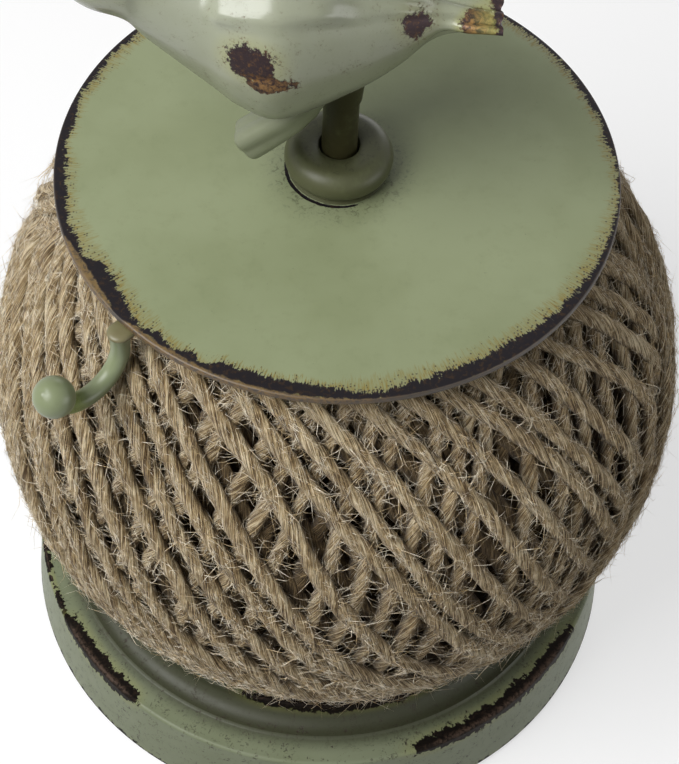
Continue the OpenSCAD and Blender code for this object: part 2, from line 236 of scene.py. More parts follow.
@dataclass(frozen=True)
class EdgeWear(Wear):
    """Wear round a turned edge, all the way or over an arc, frayed square to the edge."""
    radius: float = 48.0
    height: float = 127.5
    facing: Optional[float] = None
    spread: float = 30.0

    def near(self, bench: NodeBench, spot: Shade) -> Shade:
        """Closeness to the edge circle, faded out past the arc's ends."""
        x, y, z = bench.parts(spot)
        out = (x * x + y * y) ** 0.5
        gap = ((out - self.radius) ** 2 + (z - self.height) ** 2) ** 0.5
        close = (1 - gap / self.reach).most(0.0)
        if self.facing is None:
            return close
        turn = math.radians(self.facing)
        aim = (x * math.cos(turn) + y * math.sin(turn)) / out
        side = math.radians(self.spread)
        return close * aim.rise(math.cos(side), math.cos(0.5 * side))

    def fray(self, bench: NodeBench, spot: Shade) -> Shade:
        """Short bristles across the edge, with the seam at the back."""
        x, y, z = bench.parts(spot)
        round_way = x.math("ARCTAN2", x, 0 - y) * (self.radius * 1.25)
        across = ((x * x + y * y) ** 0.5 + z) * 0.9
        return bench.noise(bench.join(round_way, across, 0.0), 1.0, 4.0, 0.6, 0.25)


@dataclass(frozen=True)
class SpotWear(Wear):
    """An oval worn patch round a point."""
    middle: Point = (0.0, 0.0, 0.0)
    size: Point = (1.0, 1.0, 1.0)

    def near(self, bench: NodeBench, spot: Shade) -> Shade:
        """Closeness to the patch's middle."""
        off = bench.node("VectorMath", {0: spot, 1: self.middle}, operation="SUBTRACT")
        even = bench.scaled(off, tuple(1 / s for s in self.size))
        gap = bench.node("VectorMath", {0: even}, "Value", operation="LENGTH")
        return (1 - gap).most(0.0)


@dataclass(frozen=True)
class WornPaint:
    """Old glossy sage paint with chips down to dark metal, a yellowed halo and fine dirt."""
    name: str
    wears: tuple[Wear, ...] = ()
    paint: Colour = tint(138, 146, 113)
    pale: Colour = tint(146, 153, 124)
    yellowed: Colour = tint(146, 146, 82)
    dark: Colour = tint(44, 39, 42)
    brown: Colour = tint(82, 60, 42)
    ochre: Colour = tint(140, 112, 66)
    gloss: float = 0.36
    dirt: float = 0.5
    shine: float = 0.45
    # radii and strength of an inner darker ring: grime where weak, painted shade where strong
    grime_and_shade_ring: Optional[tuple[float, float]] = None
    soot_and_shade: float = 0.18
    side: Optional[float] = None
    side_foot: tuple[float, float] = (126.1, 126.45)

    def ground(self, bench: NodeBench, spot: Shade, mottle: Shade, fine: Shade) -> Shade:
        """The unworn paint's colour, with cloudy tone, pinholes and an inner darker ring with cracks: grime
        on the lid and collar, painted shade under the ball on the foot.
        """
        cloud = bench.noise(spot, 0.045, 3.0)
        colour = bench.mix(cloud.rise(0.35, 0.66), self.paint, self.pale)
        colour = bench.mix(mottle.rise(0.48, 0.8) * 0.2, colour, tint(112, 120, 84))
        speck = fine.rise(0.68, 0.75) * mottle.rise(0.45, 0.62) * self.dirt
        colour = bench.mix(speck, colour, tint(58, 57, 42))
        if self.grime_and_shade_ring:
            x, y, _ = bench.parts(spot)
            ring = ((x * x + y * y) ** 0.5).fall(*self.grime_and_shade_ring)
            crack = bench.noise(spot, 0.95, 5.0, 0.7, 1.2)
            colour = bench.mix(ring * crack.rise(0.5, 0.66) * 0.6, colour, tint(44, 44, 30))
            # painted shade where this is strong (the foot under the ball), grime where it is weak
            colour = bench.mix(ring * self.soot_and_shade, colour, tint(52, 53, 37))
        return colour

    def make(self) -> Material:
        """Build the paint's nodes."""
        bench = NodeBench(self.name)
        spot = bench.place()
        mottle = bench.noise(spot, 0.42, 4.0, 0.6)
        fine = bench.noise(spot, 2.6, 3.0, 0.6)
        grit = bench.noise(spot, 1.25, 5.0, 0.65, 0.6)
        colour = self.ground(bench, spot, mottle, fine)
        height = fine * 0.1 + mottle * 0.2
        rough: Any = self.gloss + mottle * 0.12
        iron: Any = 0.0
        for wear in self.wears:
            near = wear.near(bench, spot)
            fray = wear.fray(bench, spot)
            shake = ((mottle - 0.5) * 4.2 + (fray - 0.5) * 3.6) * (wear.ragged / wear.reach)
            chip = (near + shake * near.rise(0.0, 0.12)).rise(wear.cut - 0.04, wear.cut + 0.04)
            tinge = near.rise(max(0.0, wear.cut - 0.6), wear.cut + 0.05)
            colour = bench.mix(tinge * (0.35 + grit * 0.8) * wear.halo, colour, self.yellowed)
            rim = (near + shake * 1.3).rise(wear.cut - 0.32, wear.cut)
            bristle = (fray * 0.45 + fine * 0.55).rise(0.52, 0.6) * rim * wear.bristle
            colour = bench.mix(bristle, colour, self.brown)
            metal = bench.mix(grit.rise(0.5, 0.74), self.dark, self.brown)
            share = chip
            if wear.bare:
                flecks = near.rise(1 - wear.bare, 1.0) * grit.rise(0.36, 0.6)
                metal = bench.mix(flecks, metal, self.ochre)
                share = chip * (1 - flecks)
            colour = bench.mix(chip, colour, metal)
            height = height - chip * 0.9 - bristle * 0.3
            rough = rough + chip * 0.2
            iron = share * 0.85 + iron
        if self.side is not None:
            colour, chip = self.edge(bench, spot, colour, grit)
            height = height - chip * 0.9
            rough = rough + chip * 0.2
            iron = chip * 0.85 + iron
        if isinstance(iron, Shade):
            iron = iron.least(0.9)
        return bench.finish(colour, rough, height, 0.0002, 0.5, Specular_IOR_Level=self.shine, Metallic=iron)

    def edge(self, bench: NodeBench, spot: Shade, colour: Shade, grit: Shade) -> tuple[Shade, Shade]:
        """The lid's rim: black bare spots over an ochre strip, golden bristles, specks and the upright edge.

        Args:
            bench, spot: the material's bench and the piece's own coordinates.
            colour, grit: the paint's colour so far and medium noise.
        Returns:
            The colour with the rim, and where the paint is chipped off.
        """
        x, y, z = bench.parts(spot)
        out = (x * x + y * y) ** 0.5
        gap = self.side - out
        top, strip, halo = bench.noted(RIM_WEAR)
        along = x.math("ARCTAN2", x, 0 - y) * self.side
        streak = bench.noise(bench.join(along * 3.2, out * 0.45, 0.0), 1.0, 3.0, 0.6, 0.25)
        blob = bench.noise(spot, 0.62, 4.0, 0.66, 0.5)
        within = halo + (blob - 0.5) * 2.2 + (streak - 0.5) * 5.0 - gap
        near = (within / (halo - top).most(0.5)).most(0.0).least(1.0)
        tinge = (near ** 0.75) * (0.42 + streak.rise(0.42, 0.62) * 0.55)
        colour = bench.mix(tinge, colour, self.yellowed)
        cells = bench.node("TexVoronoi", {"Vector": spot, "Scale": 1.75}, voronoi_dimensions="2D")
        pick, _, _ = bench.parts(Shade(bench, cells.socket.node.outputs["Color"]))
        dots = cells.fall(0.2, 0.34) * ((near ** 1.3) * 0.75 - pick).rise(0.0, 0.04)
        colour = bench.mix(dots * 0.85, colour, tint(50, 43, 32))
        bare = (strip + 0.35 - gap + (blob - 0.5) * 1.6).rise(-0.2, 0.2)
        rust = bench.mix(grit.rise(0.42, 0.6), self.ochre, self.brown)
        colour = bench.mix(bare * 0.92, colour, rust)
        shake = (blob - 0.5) * 3.2 + (streak - 0.5) * 2.6
        chip = (top + shake - gap).rise(-0.1, 0.12) * (gap - strip + (blob - 0.5) * 1.4).rise(-0.18, 0.15)
        colour = bench.mix(chip, colour, bench.mix(grit.rise(0.5, 0.72) * 0.8, self.dark, self.brown))
        face = gap.fall(0.1, 0.3)
        rusty = (strip + 0.5).rise(0.3, 1.2) * grit.rise(0.38, 0.6) * 0.8
        side = bench.mix(rusty, tint(60, 52, 44), self.ochre)
        side = bench.mix(z.fall(*self.side_foot) * 0.75, side, tint(118, 114, 90))
        return bench.mix(face, colour, side), chip * (1 - face)


@dataclass(frozen=True)
class DullSteel:
    """Unpainted steel with fine turning marks and a little rust."""
    name: str = "dull_steel"

    def make(self) -> Material:
        """Build the steel's nodes."""
        bench = NodeBench(self.name)
        spot = bench.place()
        x, y, z = bench.parts(spot)
        rings = bench.noise(bench.join((x * x + y * y) ** 0.5 * 3.0, z * 3.0, 0.0), 1.6, 2.0)
        stain = bench.noise(spot, 0.35, 4.0, 0.6)
        colour = bench.mix(rings * 0.5, tint(148, 148, 145), tint(112, 112, 110))
        colour = bench.mix(stain.rise(0.58, 0.75) * 0.6, colour, tint(110, 78, 52))
        return bench.finish(colour, 0.32 + stain * 0.25, rings, 0.00004, 0.4, Metallic=0.9)


@dataclass(frozen=True)
class PressedFelt:
    """Dark grey felt with matted fibres."""
    name: str = "pressed_felt"

    def make(self) -> Material:
        """Build the felt's nodes."""
        bench = NodeBench(self.name)
        spot = bench.place()
        mat = bench.noise(spot, 1.8, 6.0, 0.75, 1.5)
        clump = bench.noise(spot, 0.5, 3.0)
        colour = bench.mix(mat.rise(0.3, 0.7), tint(62, 60, 56), tint(104, 101, 94))
        colour = bench.mix(clump * 0.3, colour, tint(80, 76, 66))
        return bench.finish(colour, 0.95, mat, 0.0003, 0.7, Specular_IOR_Level=0.1)


@dataclass(frozen=True)
class Jute:
    """Loose two-ply jute: streaked fibres that follow the lay, read from the strand's own map, with painted
    shade on the strands' inward flanks and under the crossing strands.
    """
    name: str
    dark: Colour = tint(84, 62, 34)
    middle: Colour = tint(190, 163, 117)
    pale: Colour = tint(250, 234, 198)

    def make(self) -> Material:
        """Build the jute's nodes."""
        bench = NodeBench(self.name)
        along, around, _ = bench.parts(bench.node("UVMap", {}, uv_map="lay"))
        turn = around * FULL_TURN
        east, north = turn.math("COSINE", turn), turn.math("SINE", turn)
        run = along * 100.0
        bundle = bench.noise(bench.join(run * 0.08, east * 2.6, north * 2.6), 1.0, 3.0, 0.6, 0.3)
        fibre = bench.noise(bench.join(run * 0.16, east * 7.0, north * 7.0), 1.0, 3.0, 0.6, 0.5)
        hair = bench.noise(bench.join(run * 0.4, east * 16.0, north * 16.0), 1.0, 2.0, 0.6, 0.6)
        spot = bench.place()
        patch = bench.noise(spot, 0.09, 2.0)
        lump = bench.noise(spot, 0.55, 3.0)
        tone = bundle * 0.24 + fibre * 0.34 + hair * 0.38 + lump * 0.14 - 0.05
        colour = bench.node("ValToRGB", {0: tone}, stops=(
            (0.435, self.dark), (0.51, self.middle), (0.568, self.pale)))
        colour = bench.mix(patch.rise(0.45, 0.75) * 0.2, colour, tint(146, 122, 88))
        # painted shade: darker on the strands' inward flanks and under the crossing strands
        sunk, _, _ = bench.noted(PAINTED_SHADE)
        colour = bench.mix(sunk.rise(0.12, 0.85) * 0.88, colour, tint(66, 49, 28))
        height = bundle * 0.8 + fibre + hair * 0.8
        return bench.finish(colour, 0.86, height, 0.0007, 0.9, Specular_IOR_Level=0.2, Sheen_Weight=0.15)


@dataclass(frozen=True)
class Cloudy:
    """A finish of two tones mixed by one cloudy noise, which can be its relief as well."""
    name: str
    noise: tuple[float, ...]
    span: tuple[float, float]
    tones: tuple[Colour, Colour]
    rough: float
    rougher: float = 0.0
    relief: tuple[float, ...] = ()
    shine: float = 0.5

    def make(self) -> Material:
        """Build the finish's nodes."""
        bench = NodeBench(self.name)
        cloud = bench.noise(bench.place(), *self.noise)
        colour = bench.mix(cloud.rise(*self.span), *self.tones)
        rough = self.rough + cloud * self.rougher if self.rougher else self.rough
        return bench.finish(colour, rough, cloud if self.relief else None, *self.relief,
                            Specular_IOR_Level=self.shine)


STRAY_FIBRE = Cloudy("stray_fibre", (0.8, 2.0), (0.35, 0.65), (tint(196, 170, 125), tint(255, 246, 226)),
                     0.7, shine=0.3)
EYE_ENAMEL = Cloudy("eye_enamel", (1.5, 3.0), (0.55, 0.8), (tint(30, 28, 26), tint(74, 70, 54)), 0.22, 0.2,
                    (0.00005, 0.3))
WOUND_CORE = Cloudy("jute_core", (0.9, 5.0, 0.7, 1.0), (0.35, 0.7), (tint(58, 45, 30), tint(104, 86, 60)),
                    0.95, relief=(0.0006, 0.8), shine=0.1)


# ------------------------------------ hand tools: sizes in millimetres, angles in degrees

def metres(*place: float) -> tuple[float, ...]:
    """Millimetres as metres."""
    return tuple(value * MM for value in place)


def clear() -> None:
    """Deselect everything."""
    bpy.ops.object.select_all(action="DESELECT")


def edit() -> None:
    """Go into edit mode with all of the piece selected."""
    bpy.ops.object.mode_set(mode="EDIT")
    bpy.ops.mesh.select_all(action="SELECT")


def circle(place: Point, radius: float, sides: int, **shape: Any) -> Piece:
    """Add a circle and put its place into its mesh."""
    clear()
    bpy.ops.mesh.primitive_circle_add(vertices=sides, radius=radius * MM, location=metres(*place), **shape)
    bpy.ops.object.transform_apply()
    return bpy.context.object


def draw(step: Point, grow: Optional[Point] = None, about: Point = (0, 0, 0)) -> None:
    """Extrude what is selected by a step, then resize it about a point."""
    bpy.ops.mesh.extrude_region_move(TRANSFORM_OT_translate={"value": metres(*step)})
    if grow:
        bpy.ops.transform.resize(value=grow, center_override=metres(*about))


def leave(name: str, angle: float = 40.0) -> Piece:
    """Merge, turn faces outwards, smooth and name the piece.

    Args:
        name: the piece's name.
        angle: edges sharper than this stay sharp.
    Returns:
        The finished object.
    """
    bpy.ops.mesh.select_all(action="SELECT")
    bpy.ops.mesh.remove_doubles(threshold=1e-6)
    bpy.ops.mesh.normals_make_consistent(inside=False)
    bpy.ops.object.mode_set(mode="OBJECT")
    bpy.ops.object.shade_smooth_by_angle(angle=math.radians(angle))
    made = bpy.context.object
    made.name = made.data.name = name
    return made


def turned(name: str, outline: Outline, sides: int = 144, angle: float = 40.0) -> Piece:
    """Turn a closed outline round the upright axis.

    Args:
        name, angle: as for leave.
        outline: radius and height of each corner.
        sides: faces round the axis.
    Returns:
        The turned piece.
    """
    radius, height = outline[0]
    circle((0, 0, height), radius, sides)
    edit()
    for out, up in outline[1:] + outline[:1]:
        draw((0, 0, up - height), (out / radius, out / radius, 1), (0, 0, up))
        radius, height = out, up
    return leave(name, angle)


def lofted(name: str, rows: Sequence[tuple[Point, float, float]], sides: int = 48,
           angle: float = 50.0) -> Piece:
    """Draw an upright ring through a row of ovals along X, closed at both ends.

    Args:
        name, angle: as for leave.
        rows: each oval's middle, half width and half height.
        sides: points round an oval.
    Returns:
        The lofted piece.
    """
    (x, y, z), wide, tall = rows[0]
    circle((0, 0, 0), 1.0, sides, fill_type="NGON", rotation=(0, math.pi / 2, 0))
    edit()
    bpy.ops.transform.resize(value=(1, wide, tall), center_override=(0, 0, 0))
    bpy.ops.transform.translate(value=metres(x, y, z))
    for (x1, y1, z1), wide1, tall1 in rows[1:]:
        draw((x1 - x, y1 - y, z1 - z), (1, wide1 / wide, tall1 / tall), (x1, y1, z1))
        (x, y, z), wide, tall = (x1, y1, z1), wide1, tall1
    return leave(name, angle)


def arc(middle: tuple[float, float], wide: float, tall: float, start: float, end: float,
        steps: int) -> Outline:
    """Corners along an elliptic arc."""
    turns = [math.radians(start + (end - start) * i / steps) for i in range(steps + 1)]
    return [(middle[0] + wide * math.cos(a), middle[1] + tall * math.sin(a)) for a in turns]


def sculpt(piece: Piece, push: Callable[[Array, Array], Array]) -> None:
    """Move a piece's points to where push puts them, from their places and normals."""
    mesh = piece.data
    count = len(mesh.vertices)
    spots, normals = np.empty(count * 3), np.empty(count * 3)
    mesh.vertices.foreach_get("co", spots)
    mesh.vertices.foreach_get("normal", normals)
    moved = push(spots.reshape(-1, 3) / MM, normals.reshape(-1, 3))
    mesh.vertices.foreach_set("co", (moved * MM).ravel())
    mesh.update()


def jot(piece: Piece, name: str, values: Array) -> None:
    """Write three numbers on each of a piece's points."""
    layer = piece.data.attributes.new(name, "FLOAT_VECTOR", "POINT")
    layer.data.foreach_set("vector", values.astype(np.float32).ravel())


def shifted(piece: Piece, matrix: Matrix) -> Piece:
    """Move a piece's mesh."""
    piece.data.transform(matrix)
    piece.data.update()
    return piece


def placed(name: str, data: Any) -> Piece:
    """Put an object made of some data into the scene."""
    made = bpy.data.objects.new(name, data)
    bpy.context.scene.collection.objects.link(made)
    return made


def woven(name: str, spots: Array, faces: Array, **maps: Array) -> Piece:
    """Make a smooth mesh object from arrays.

    Args:
        name: the piece's name.
        spots, faces: its points, and rows of point numbers.
        maps: map coordinates of each face corner, by map name.
    Returns:
        The new object.
    """
    mesh = bpy.data.meshes.new(name)
    mesh.from_pydata((spots * MM).tolist(), [], faces.tolist())
    for title, places in maps.items():
        layer = mesh.uv_layers.new(name=title)
        layer.data.foreach_set("uv", places.astype(np.float32).ravel())
    mesh.polygons.foreach_set("use_smooth", np.ones(len(mesh.polygons), dtype=bool))
    mesh.update()
    return placed(name, mesh)


def ease(share: Array) -> Array:
    """A soft step from 0 to 1."""
    held = np.clip(share, 0.0, 1.0)
    return held * held * (3 - 2 * held)


def unit(vectors: Array) -> Array:
    """Rows of vectors, each made 1 long."""
    return vectors / np.linalg.norm(vectors, axis=1)[:, None]


def dress(piece: Piece, material: Material, body: Body, slot: Slot, *nodes: str) -> None:
    """Give a piece its material and the body it moves with, and hide the solids it stands for; the slot is
    not used.
    """
    piece.data.materials.clear()
    piece.data.materials.append(material)
    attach(piece, body.value)
    if nodes:
        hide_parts(*nodes)
    log.info("%s rides on %s, %d faces", piece.name, body.value, len(piece.data.polygons))


def repaint(node: str, material: Material) -> None:
    """Give a carried-over solid a finished material."""
    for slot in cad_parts[node].material_slots:
        slot.material = material
    log.info("%s keeps its solid", node)


# ---------------------------------------------------------------- the object

@dataclass
class Foot:
    """Stepped round foot: drum wall, ledge, cove and seat, open below."""
    radius: float = 60.5
    top_radius: float = 59.1
    ledge: float = 17.5
    seat: float = 22.5
    tier: float = 49.0
    cove: float = 4.0
    step: float = 0.5
    pad: float = 1.0
    sheet: float = 1.6
    lip: float = 11.0
    round_over: float = 0.9
    hole: float = 3.4

    def outline(self) -> Outline:
        """The wall's section, outside up and inside down."""
        soft, sheet, root = self.round_over, self.sheet, self.tier + self.cove
        cove_rise = self.seat - self.ledge - self.step - soft
        under_seat, under_ledge, over_lip = self.seat - sheet, self.ledge - sheet, self.pad + sheet
        return ([(self.radius - 0.5, self.pad), (self.radius, self.pad + 0.5)]
                + arc((self.top_radius - soft, self.ledge - soft), soft, soft, 2, 90, 8)
                + [(root + self.step + 0.25, self.ledge), (root + self.step, self.ledge + 0.12),
                   (root + 0.15, self.ledge + self.step)]
                + arc((root, self.ledge + self.step + cove_rise), self.cove, cove_rise, 268, 182, 14)
                + arc((self.tier - soft, self.seat - soft), soft, soft, 4, 90, 8)
                + [(self.hole + 0.4, self.seat), (self.hole, self.seat - 0.4), (self.hole, under_seat),
                   (self.tier - sheet, under_seat), (self.tier - sheet, under_ledge),
                   (self.top_radius - sheet, under_ledge), (self.radius - sheet, over_lip),
                   (self.radius - self.lip, over_lip), (self.radius - self.lip, self.pad)])

    def finish(self) -> WornPaint:
        """Paint worn along the drum's upper edge, the seat's edge and the wall's foot, with painted shade in
        the cove and seat under the ball.
        """
        ledge = {"radius": self.top_radius - 0.6, "height": self.ledge - 0.2, "halo": 0.4, "bristle": 0.4,
                 "bare": 0.25, "ragged": 0.95}
        tier = {"radius": self.tier, "height": self.seat, "halo": 0.3, "bristle": 0.25, "ragged": 0.75}
        wears = [EdgeWear(facing=facing, spread=spread, reach=reach, **edge)
                 for edge, facing, spread, reach in (
            (ledge, -169, 21, 1.1), (ledge, -138, 15, 4.0), (ledge, -47, 28, 3.9), (ledge, 70, 34, 3.6),
            (ledge, 140, 22, 3.4), (tier, -84, 28, 3.4), (tier, 12, 26, 3.0), (tier, 160, 36, 3.4))]
        wears.append(EdgeWear(radius=self.radius, height=self.pad, reach=1.9, halo=0.2, bristle=0.3))
        # the strong dark ring inside the ledge is painted shade in the cove and seat under the ball
        return WornPaint(
            "foot_paint", tuple(wears), paint=tint(114, 121, 94), pale=tint(122, 129, 104),
            dark=tint(21, 17, 14), brown=tint(46, 36, 28), ochre=tint(66, 50, 38), grime_and_shade_ring=(52.5, 57.0),
            soot_and_shade=0.93, shine=0.22)

    def build(self) -> None:
        """Turn and dress the foot, its nut and its pads."""
        shell = turned("foot_drum", self.outline(), 160)

        def press(spots: Array, normals: Array) -> Array:
            """Leave the slight unevenness of an old spun sheet."""
            x, y, z = spots.T
            turn = np.arctan2(y, x)
            wave = 0.09 * np.sin(3 * turn + 0.6) + 0.06 * np.sin(7 * turn + 2.1)
            return spots - normals * (np.abs(wave) * (z > 2))[:, None]
        sculpt(shell, press)
        dress(shell, self.finish().make(), Body.BASE, Slot.PAINT, "foot_shell")
        repaint("spindle_nut", DullSteel("nut_steel").make())
        repaint("felt_pads", PressedFelt().make())


@dataclass
class Lid:
    """Flat round lid with its half-round collar."""
    radius: float = 48.0
    under: float = 126.0
    top: float = 127.5
    soft: float = 0.45
    spigot: float = 5.0
    gap: float = 0.06
    collar_radius: float = 9.2
    collar_base: float = 127.6
    collar_height: float = 6.1
    spigot_foot: float = 124.3
    bore: float = 3.06
    relief: float = 3.4
    rings: Sequence[float] = (46.6, 45.4, 44.0, 42.0, 36.0, 26.0, 16.0, 9.8)
    bite_seed: int = 11
    bite_from: float = 45.2
    bite_over: float = 126.7
    bite_depth: float = 0.14
    # angle from the front, then how far in the bare spots, the ochre strip and the bristles reach
    worn: Rows = (
        (-180, 1.5, -0.6, 3.0), (-126, 1.4, -0.6, 3.6), (-118, 1.3, -0.6, 3.6), (-112, 1.5, -0.6, 3.4),
        (-106, 0.9, -0.6, 2.8), (-99, 2.0, -0.6, 3.0), (-92, 1.7, -0.6, 3.0), (-86, 2.2, -0.6, 4.2),
        (-80, 2.2, -0.6, 3.8), (-74, 1.9, -0.6, 4.0), (-69, 1.5, -0.2, 4.6), (-66, 2.3, 0.7, 5.2),
        (-62, 1.3, 1.2, 5.2), (-58, 3.8, 1.5, 5.6), (-54, 4.2, 1.4, 5.8), (-49, 3.2, 0.9, 5.8),
        (-45, 2.6, -0.4, 5.2), (-41, 1.4, 0.9, 4.8), (-36, 2.5, 0.8, 3.8), (-32, 1.4, 1.1, 3.2),
        (-28, 2.5, 0.9, 3.2), (-25, 1.4, 0.9, 3.2), (-21, 3.2, 0.7, 4.0), (-12, 3.1, 0.7, 3.8),
        (-5, 3.1, 0.5, 3.8), (1, 2.3, 0.4, 3.6), (7, 1.5, 0.3, 4.4), (12, 1.7, 0.1, 4.6), (17, 2.4, 0.0, 4.8),
        (28, 2.6, 0.0, 5.2), (40, 2.7, 0.0, 4.8), (50, 2.1, 0.0, 4.6), (60, 1.7, -0.2, 4.2),
        (70, 1.1, -0.4, 3.8), (80, 0.6, -0.6, 2.8), (88, 0.3, -0.6, 1.8), (96, 0.7, -0.6, 2.2),
        (102, 1.7, -0.6, 2.8), (107, 1.0, -0.6, 2.4), (114, 1.6, -0.6, 2.6), (122, 1.2, -0.6, 2.4),
        (130, 0.9, -0.6, 2.6), (150, 1.4, -0.6, 2.8), (180, 1.5, -0.6, 3.0))

    def plate(self) -> Piece:
        """Turn the lid's plate and roughen its worn rim."""
        hole = self.spigot + self.gap
        rim = (arc((self.radius - self.soft, self.under + self.soft), self.soft, self.soft, -90, 0, 5)
               + arc((self.radius - self.soft, self.top - self.soft), self.soft, self.soft, 0, 90, 5))
        face = [(r, self.top) for r in self.rings]
        plate = turned("lid_plate", [(hole, self.under)] + rim + face + [(hole, self.top)], 240, 30)
        phases = np.random.default_rng(self.bite_seed).uniform(0, FULL_TURN, 14)

        def gnaw(spots: Array, normals: Array) -> Array:
            """Sink the rim a little where the paint has gone."""
            x, y, z = spots.T
            turn = np.arctan2(y, x)
            wave = sum(np.sin((3 + 4 * i) * turn + p) for i, p in enumerate(phases)) / 7
            worn = ease((np.hypot(x, y) - self.bite_from - 0.8 * wave) / 1.2)
            worn *= ease((z - self.bite_over) / 0.3)
            return np.stack([x, y, z - self.bite_depth * worn], axis=1)
        sculpt(plate, gnaw)
        spots = np.array([v.co for v in plate.data.vertices])
        turn = np.degrees(np.arctan2(spots[:, 0], -spots[:, 1]))
        table = np.array(self.worn).T
        jot(plate, RIM_WEAR, np.stack([np.interp(turn, table[0], row) for row in table[1:]], axis=1))
        return plate

    def collar(self) -> Piece:
        """Turn the half-round collar and its spigot."""
        soft = 0.5 * self.collar_height
        crown = self.collar_base + self.collar_height
        middle = (self.collar_radius - soft, crown - soft)
        start = -math.degrees(math.asin((middle[1] - self.collar_base - 0.35) / soft))
        outline = ([(self.bore, self.spigot_foot), (self.spigot, self.spigot_foot),
                    (self.spigot, self.collar_base), (self.collar_radius - 0.75, self.collar_base)]
                   + arc(middle, soft, soft, start, 90, 16)
                   + [(self.relief + 1.4, crown - 0.04), (self.relief + 0.5, crown - 0.16),
                      (self.relief + 0.14, crown - 0.34), (self.relief, crown - 0.7),
                      (self.relief, crown - 3.0), (self.bore, crown - 3.0)])
        return turned("lid_collar_bead", outline, 96)

    def build(self) -> None:
        """Make and dress the lid's plate and collar."""
        rim = WornPaint("lid_paint", (
            EdgeWear(radius=self.collar_radius - 0.35, height=self.top, reach=0.6, cut=0.5, ragged=0.08,
                     halo=0.0, bristle=0.0, facing=215, spread=105),),
            paint=tint(130, 138, 103), pale=tint(139, 147, 113), yellowed=tint(124, 108, 46),
            dark=tint(33, 30, 33), brown=tint(66, 50, 34), ochre=tint(110, 86, 48), grime_and_shade_ring=(9.0, 15.0),
            side=self.radius)
        dress(self.plate(), rim.make(), Body.LID, Slot.PAINT, "lid_disc")
        # the collar's dark olive is painted shade from the bird above it
        bead = WornPaint("collar_paint_shaded", gloss=0.34, paint=tint(70, 72, 48), pale=tint(76, 78, 54),
                         grime_and_shade_ring=(6.4, 7.4), shine=0.25)
        dress(self.collar(), bead.make(), Body.HUB, Slot.PAINT, "lid_collar")
        repaint("collar_washer", DullSteel("washer_steel").make())


@dataclass
class Hook:
    """Round wire hook under the lid's edge, with a bead on its tip."""
    azimuth: float = 227.0
    wire: float = 1.65
    shank: float = 48.968
    bend: float = 55.968
    bend_radius: float = 7.0
    bend_height: float = 121.9
    lid_under: float = 126.0
    turn: float = 172.0
    bead: float = 3.5
    tab_inner: float = 45.268
    tab_half: float = 2.6
    root_flare: Rows = (
        (1.1, 0.12), (1.14, 0.4), (1.1, 0.8), (1.05, 1.3), (1.02, 1.9), (1.0, 2.6))
    tab_dome: Rows = (
        (1.2, 0.05), (1.15, 0.1), (1.1, 0.15), (1.06, 0.2), (1.0, 0.3), (0.93, 0.3), (0.86, 0.1))

    def wire_piece(self) -> Piece:
        """Draw the wire down from its flared root and spin it round the bend."""
        size, top = self.wire * 1.05, self.lid_under - 0.5
        circle((self.shank, 0, top), size, 28, fill_type="NGON")
        edit()
        height = top
        for share, drop in self.root_flare:
            grow, step = self.wire * share / size, top - drop
            draw((0, 0, step - height), (grow, grow, 1), (self.shank, 0, step))
            size, height = self.wire * share, step
        draw((0, 0, self.bend_height - height))
        bpy.ops.mesh.spin(steps=40, angle=math.radians(self.turn), axis=(0, 1, 0),
                          center=metres(self.bend, 0, self.bend_height))
        bpy.ops.mesh.select_all(action="SELECT")
        bpy.ops.mesh.fill_holes(sides=0)
        return leave("hook_wire", 60)

    def tab_piece(self) -> Piece:
        """Draw the soldered tab under the lid."""
        tab = circle((self.shank, 0, self.lid_under - 0.02), 0.82 * self.tab_half, 40, fill_type="NGON")
        for spot in tab.data.vertices:
            if spot.co.x < self.shank * MM - 1e-6:
                spot.co.x -= (self.shank - self.tab_inner) * MM
        edit()
        middle = ((self.shank + self.tab_inner) / 2, 0, 0)
        bpy.ops.transform.resize(value=(0.6, 0.6, 1), center_override=metres(*middle))
        for share, drop in self.tab_dome:
            draw((0, 0, -drop), (share, share, 1), middle)
        return leave("hook_tab", 60)

    def bead_piece(self) -> Piece:
        """Shape the bead with a small drawn-out nub at its front."""
        clear()
        away = math.radians(self.turn)
        tip = Vector((self.bend - self.bend_radius * math.cos(away), 0,
                      self.bend_height - self.bend_radius * math.sin(away)))
        bpy.ops.mesh.primitive_uv_sphere_add(segments=40, ring_count=24, radius=self.bead * MM,
                                             location=tip * MM)
        bpy.ops.object.transform_apply()
        edit()
        bead = leave("hook_bead_ball", 80)
        aim = Vector((0.62, 0.0, 0.78))

        def nub(spots: Array, normals: Array) -> Array:
            """Pull a small nub out."""
            facing = normals @ np.array(aim)
            return spots + normals * (0.28 * ease((facing - 0.986) / 0.012))[:, None]
        sculpt(bead, nub)
        return bead

    def build(self) -> None:
        """Make, swing round and dress the hook's pieces."""
        worn = SpotWear(middle=(-41.2, -44.2, 116.4), size=(5.0, 5.0, 4.4), cut=0.78, ragged=0.35, halo=0.85,
                        bristle=0.5)
        # the yellowed tint of the worn patch near the bead is real wear, made paler as painted light on the
        # shaded wire
        paint = WornPaint("hook_paint", (worn,), paint=tint(104, 113, 78), pale=tint(128, 137, 104),
                          yellowed=tint(138, 160, 72), gloss=0.28).make()
        root = WornPaint("hook_root_paint", paint=tint(88, 86, 54), pale=tint(108, 102, 70), dirt=0.9,
                         gloss=0.3).make()
        round_lid = Matrix.Rotation(math.radians(self.azimuth), 4, "Z")
        for piece, coat, nodes in (
                (self.wire_piece(), paint, ("scissor_hook",)), (self.tab_piece(), root, ()),
                (self.bead_piece(), paint, ("hook_bead",))):
            dress(shifted(piece, round_lid), coat, Body.LID, Slot.PAINT, *nodes)


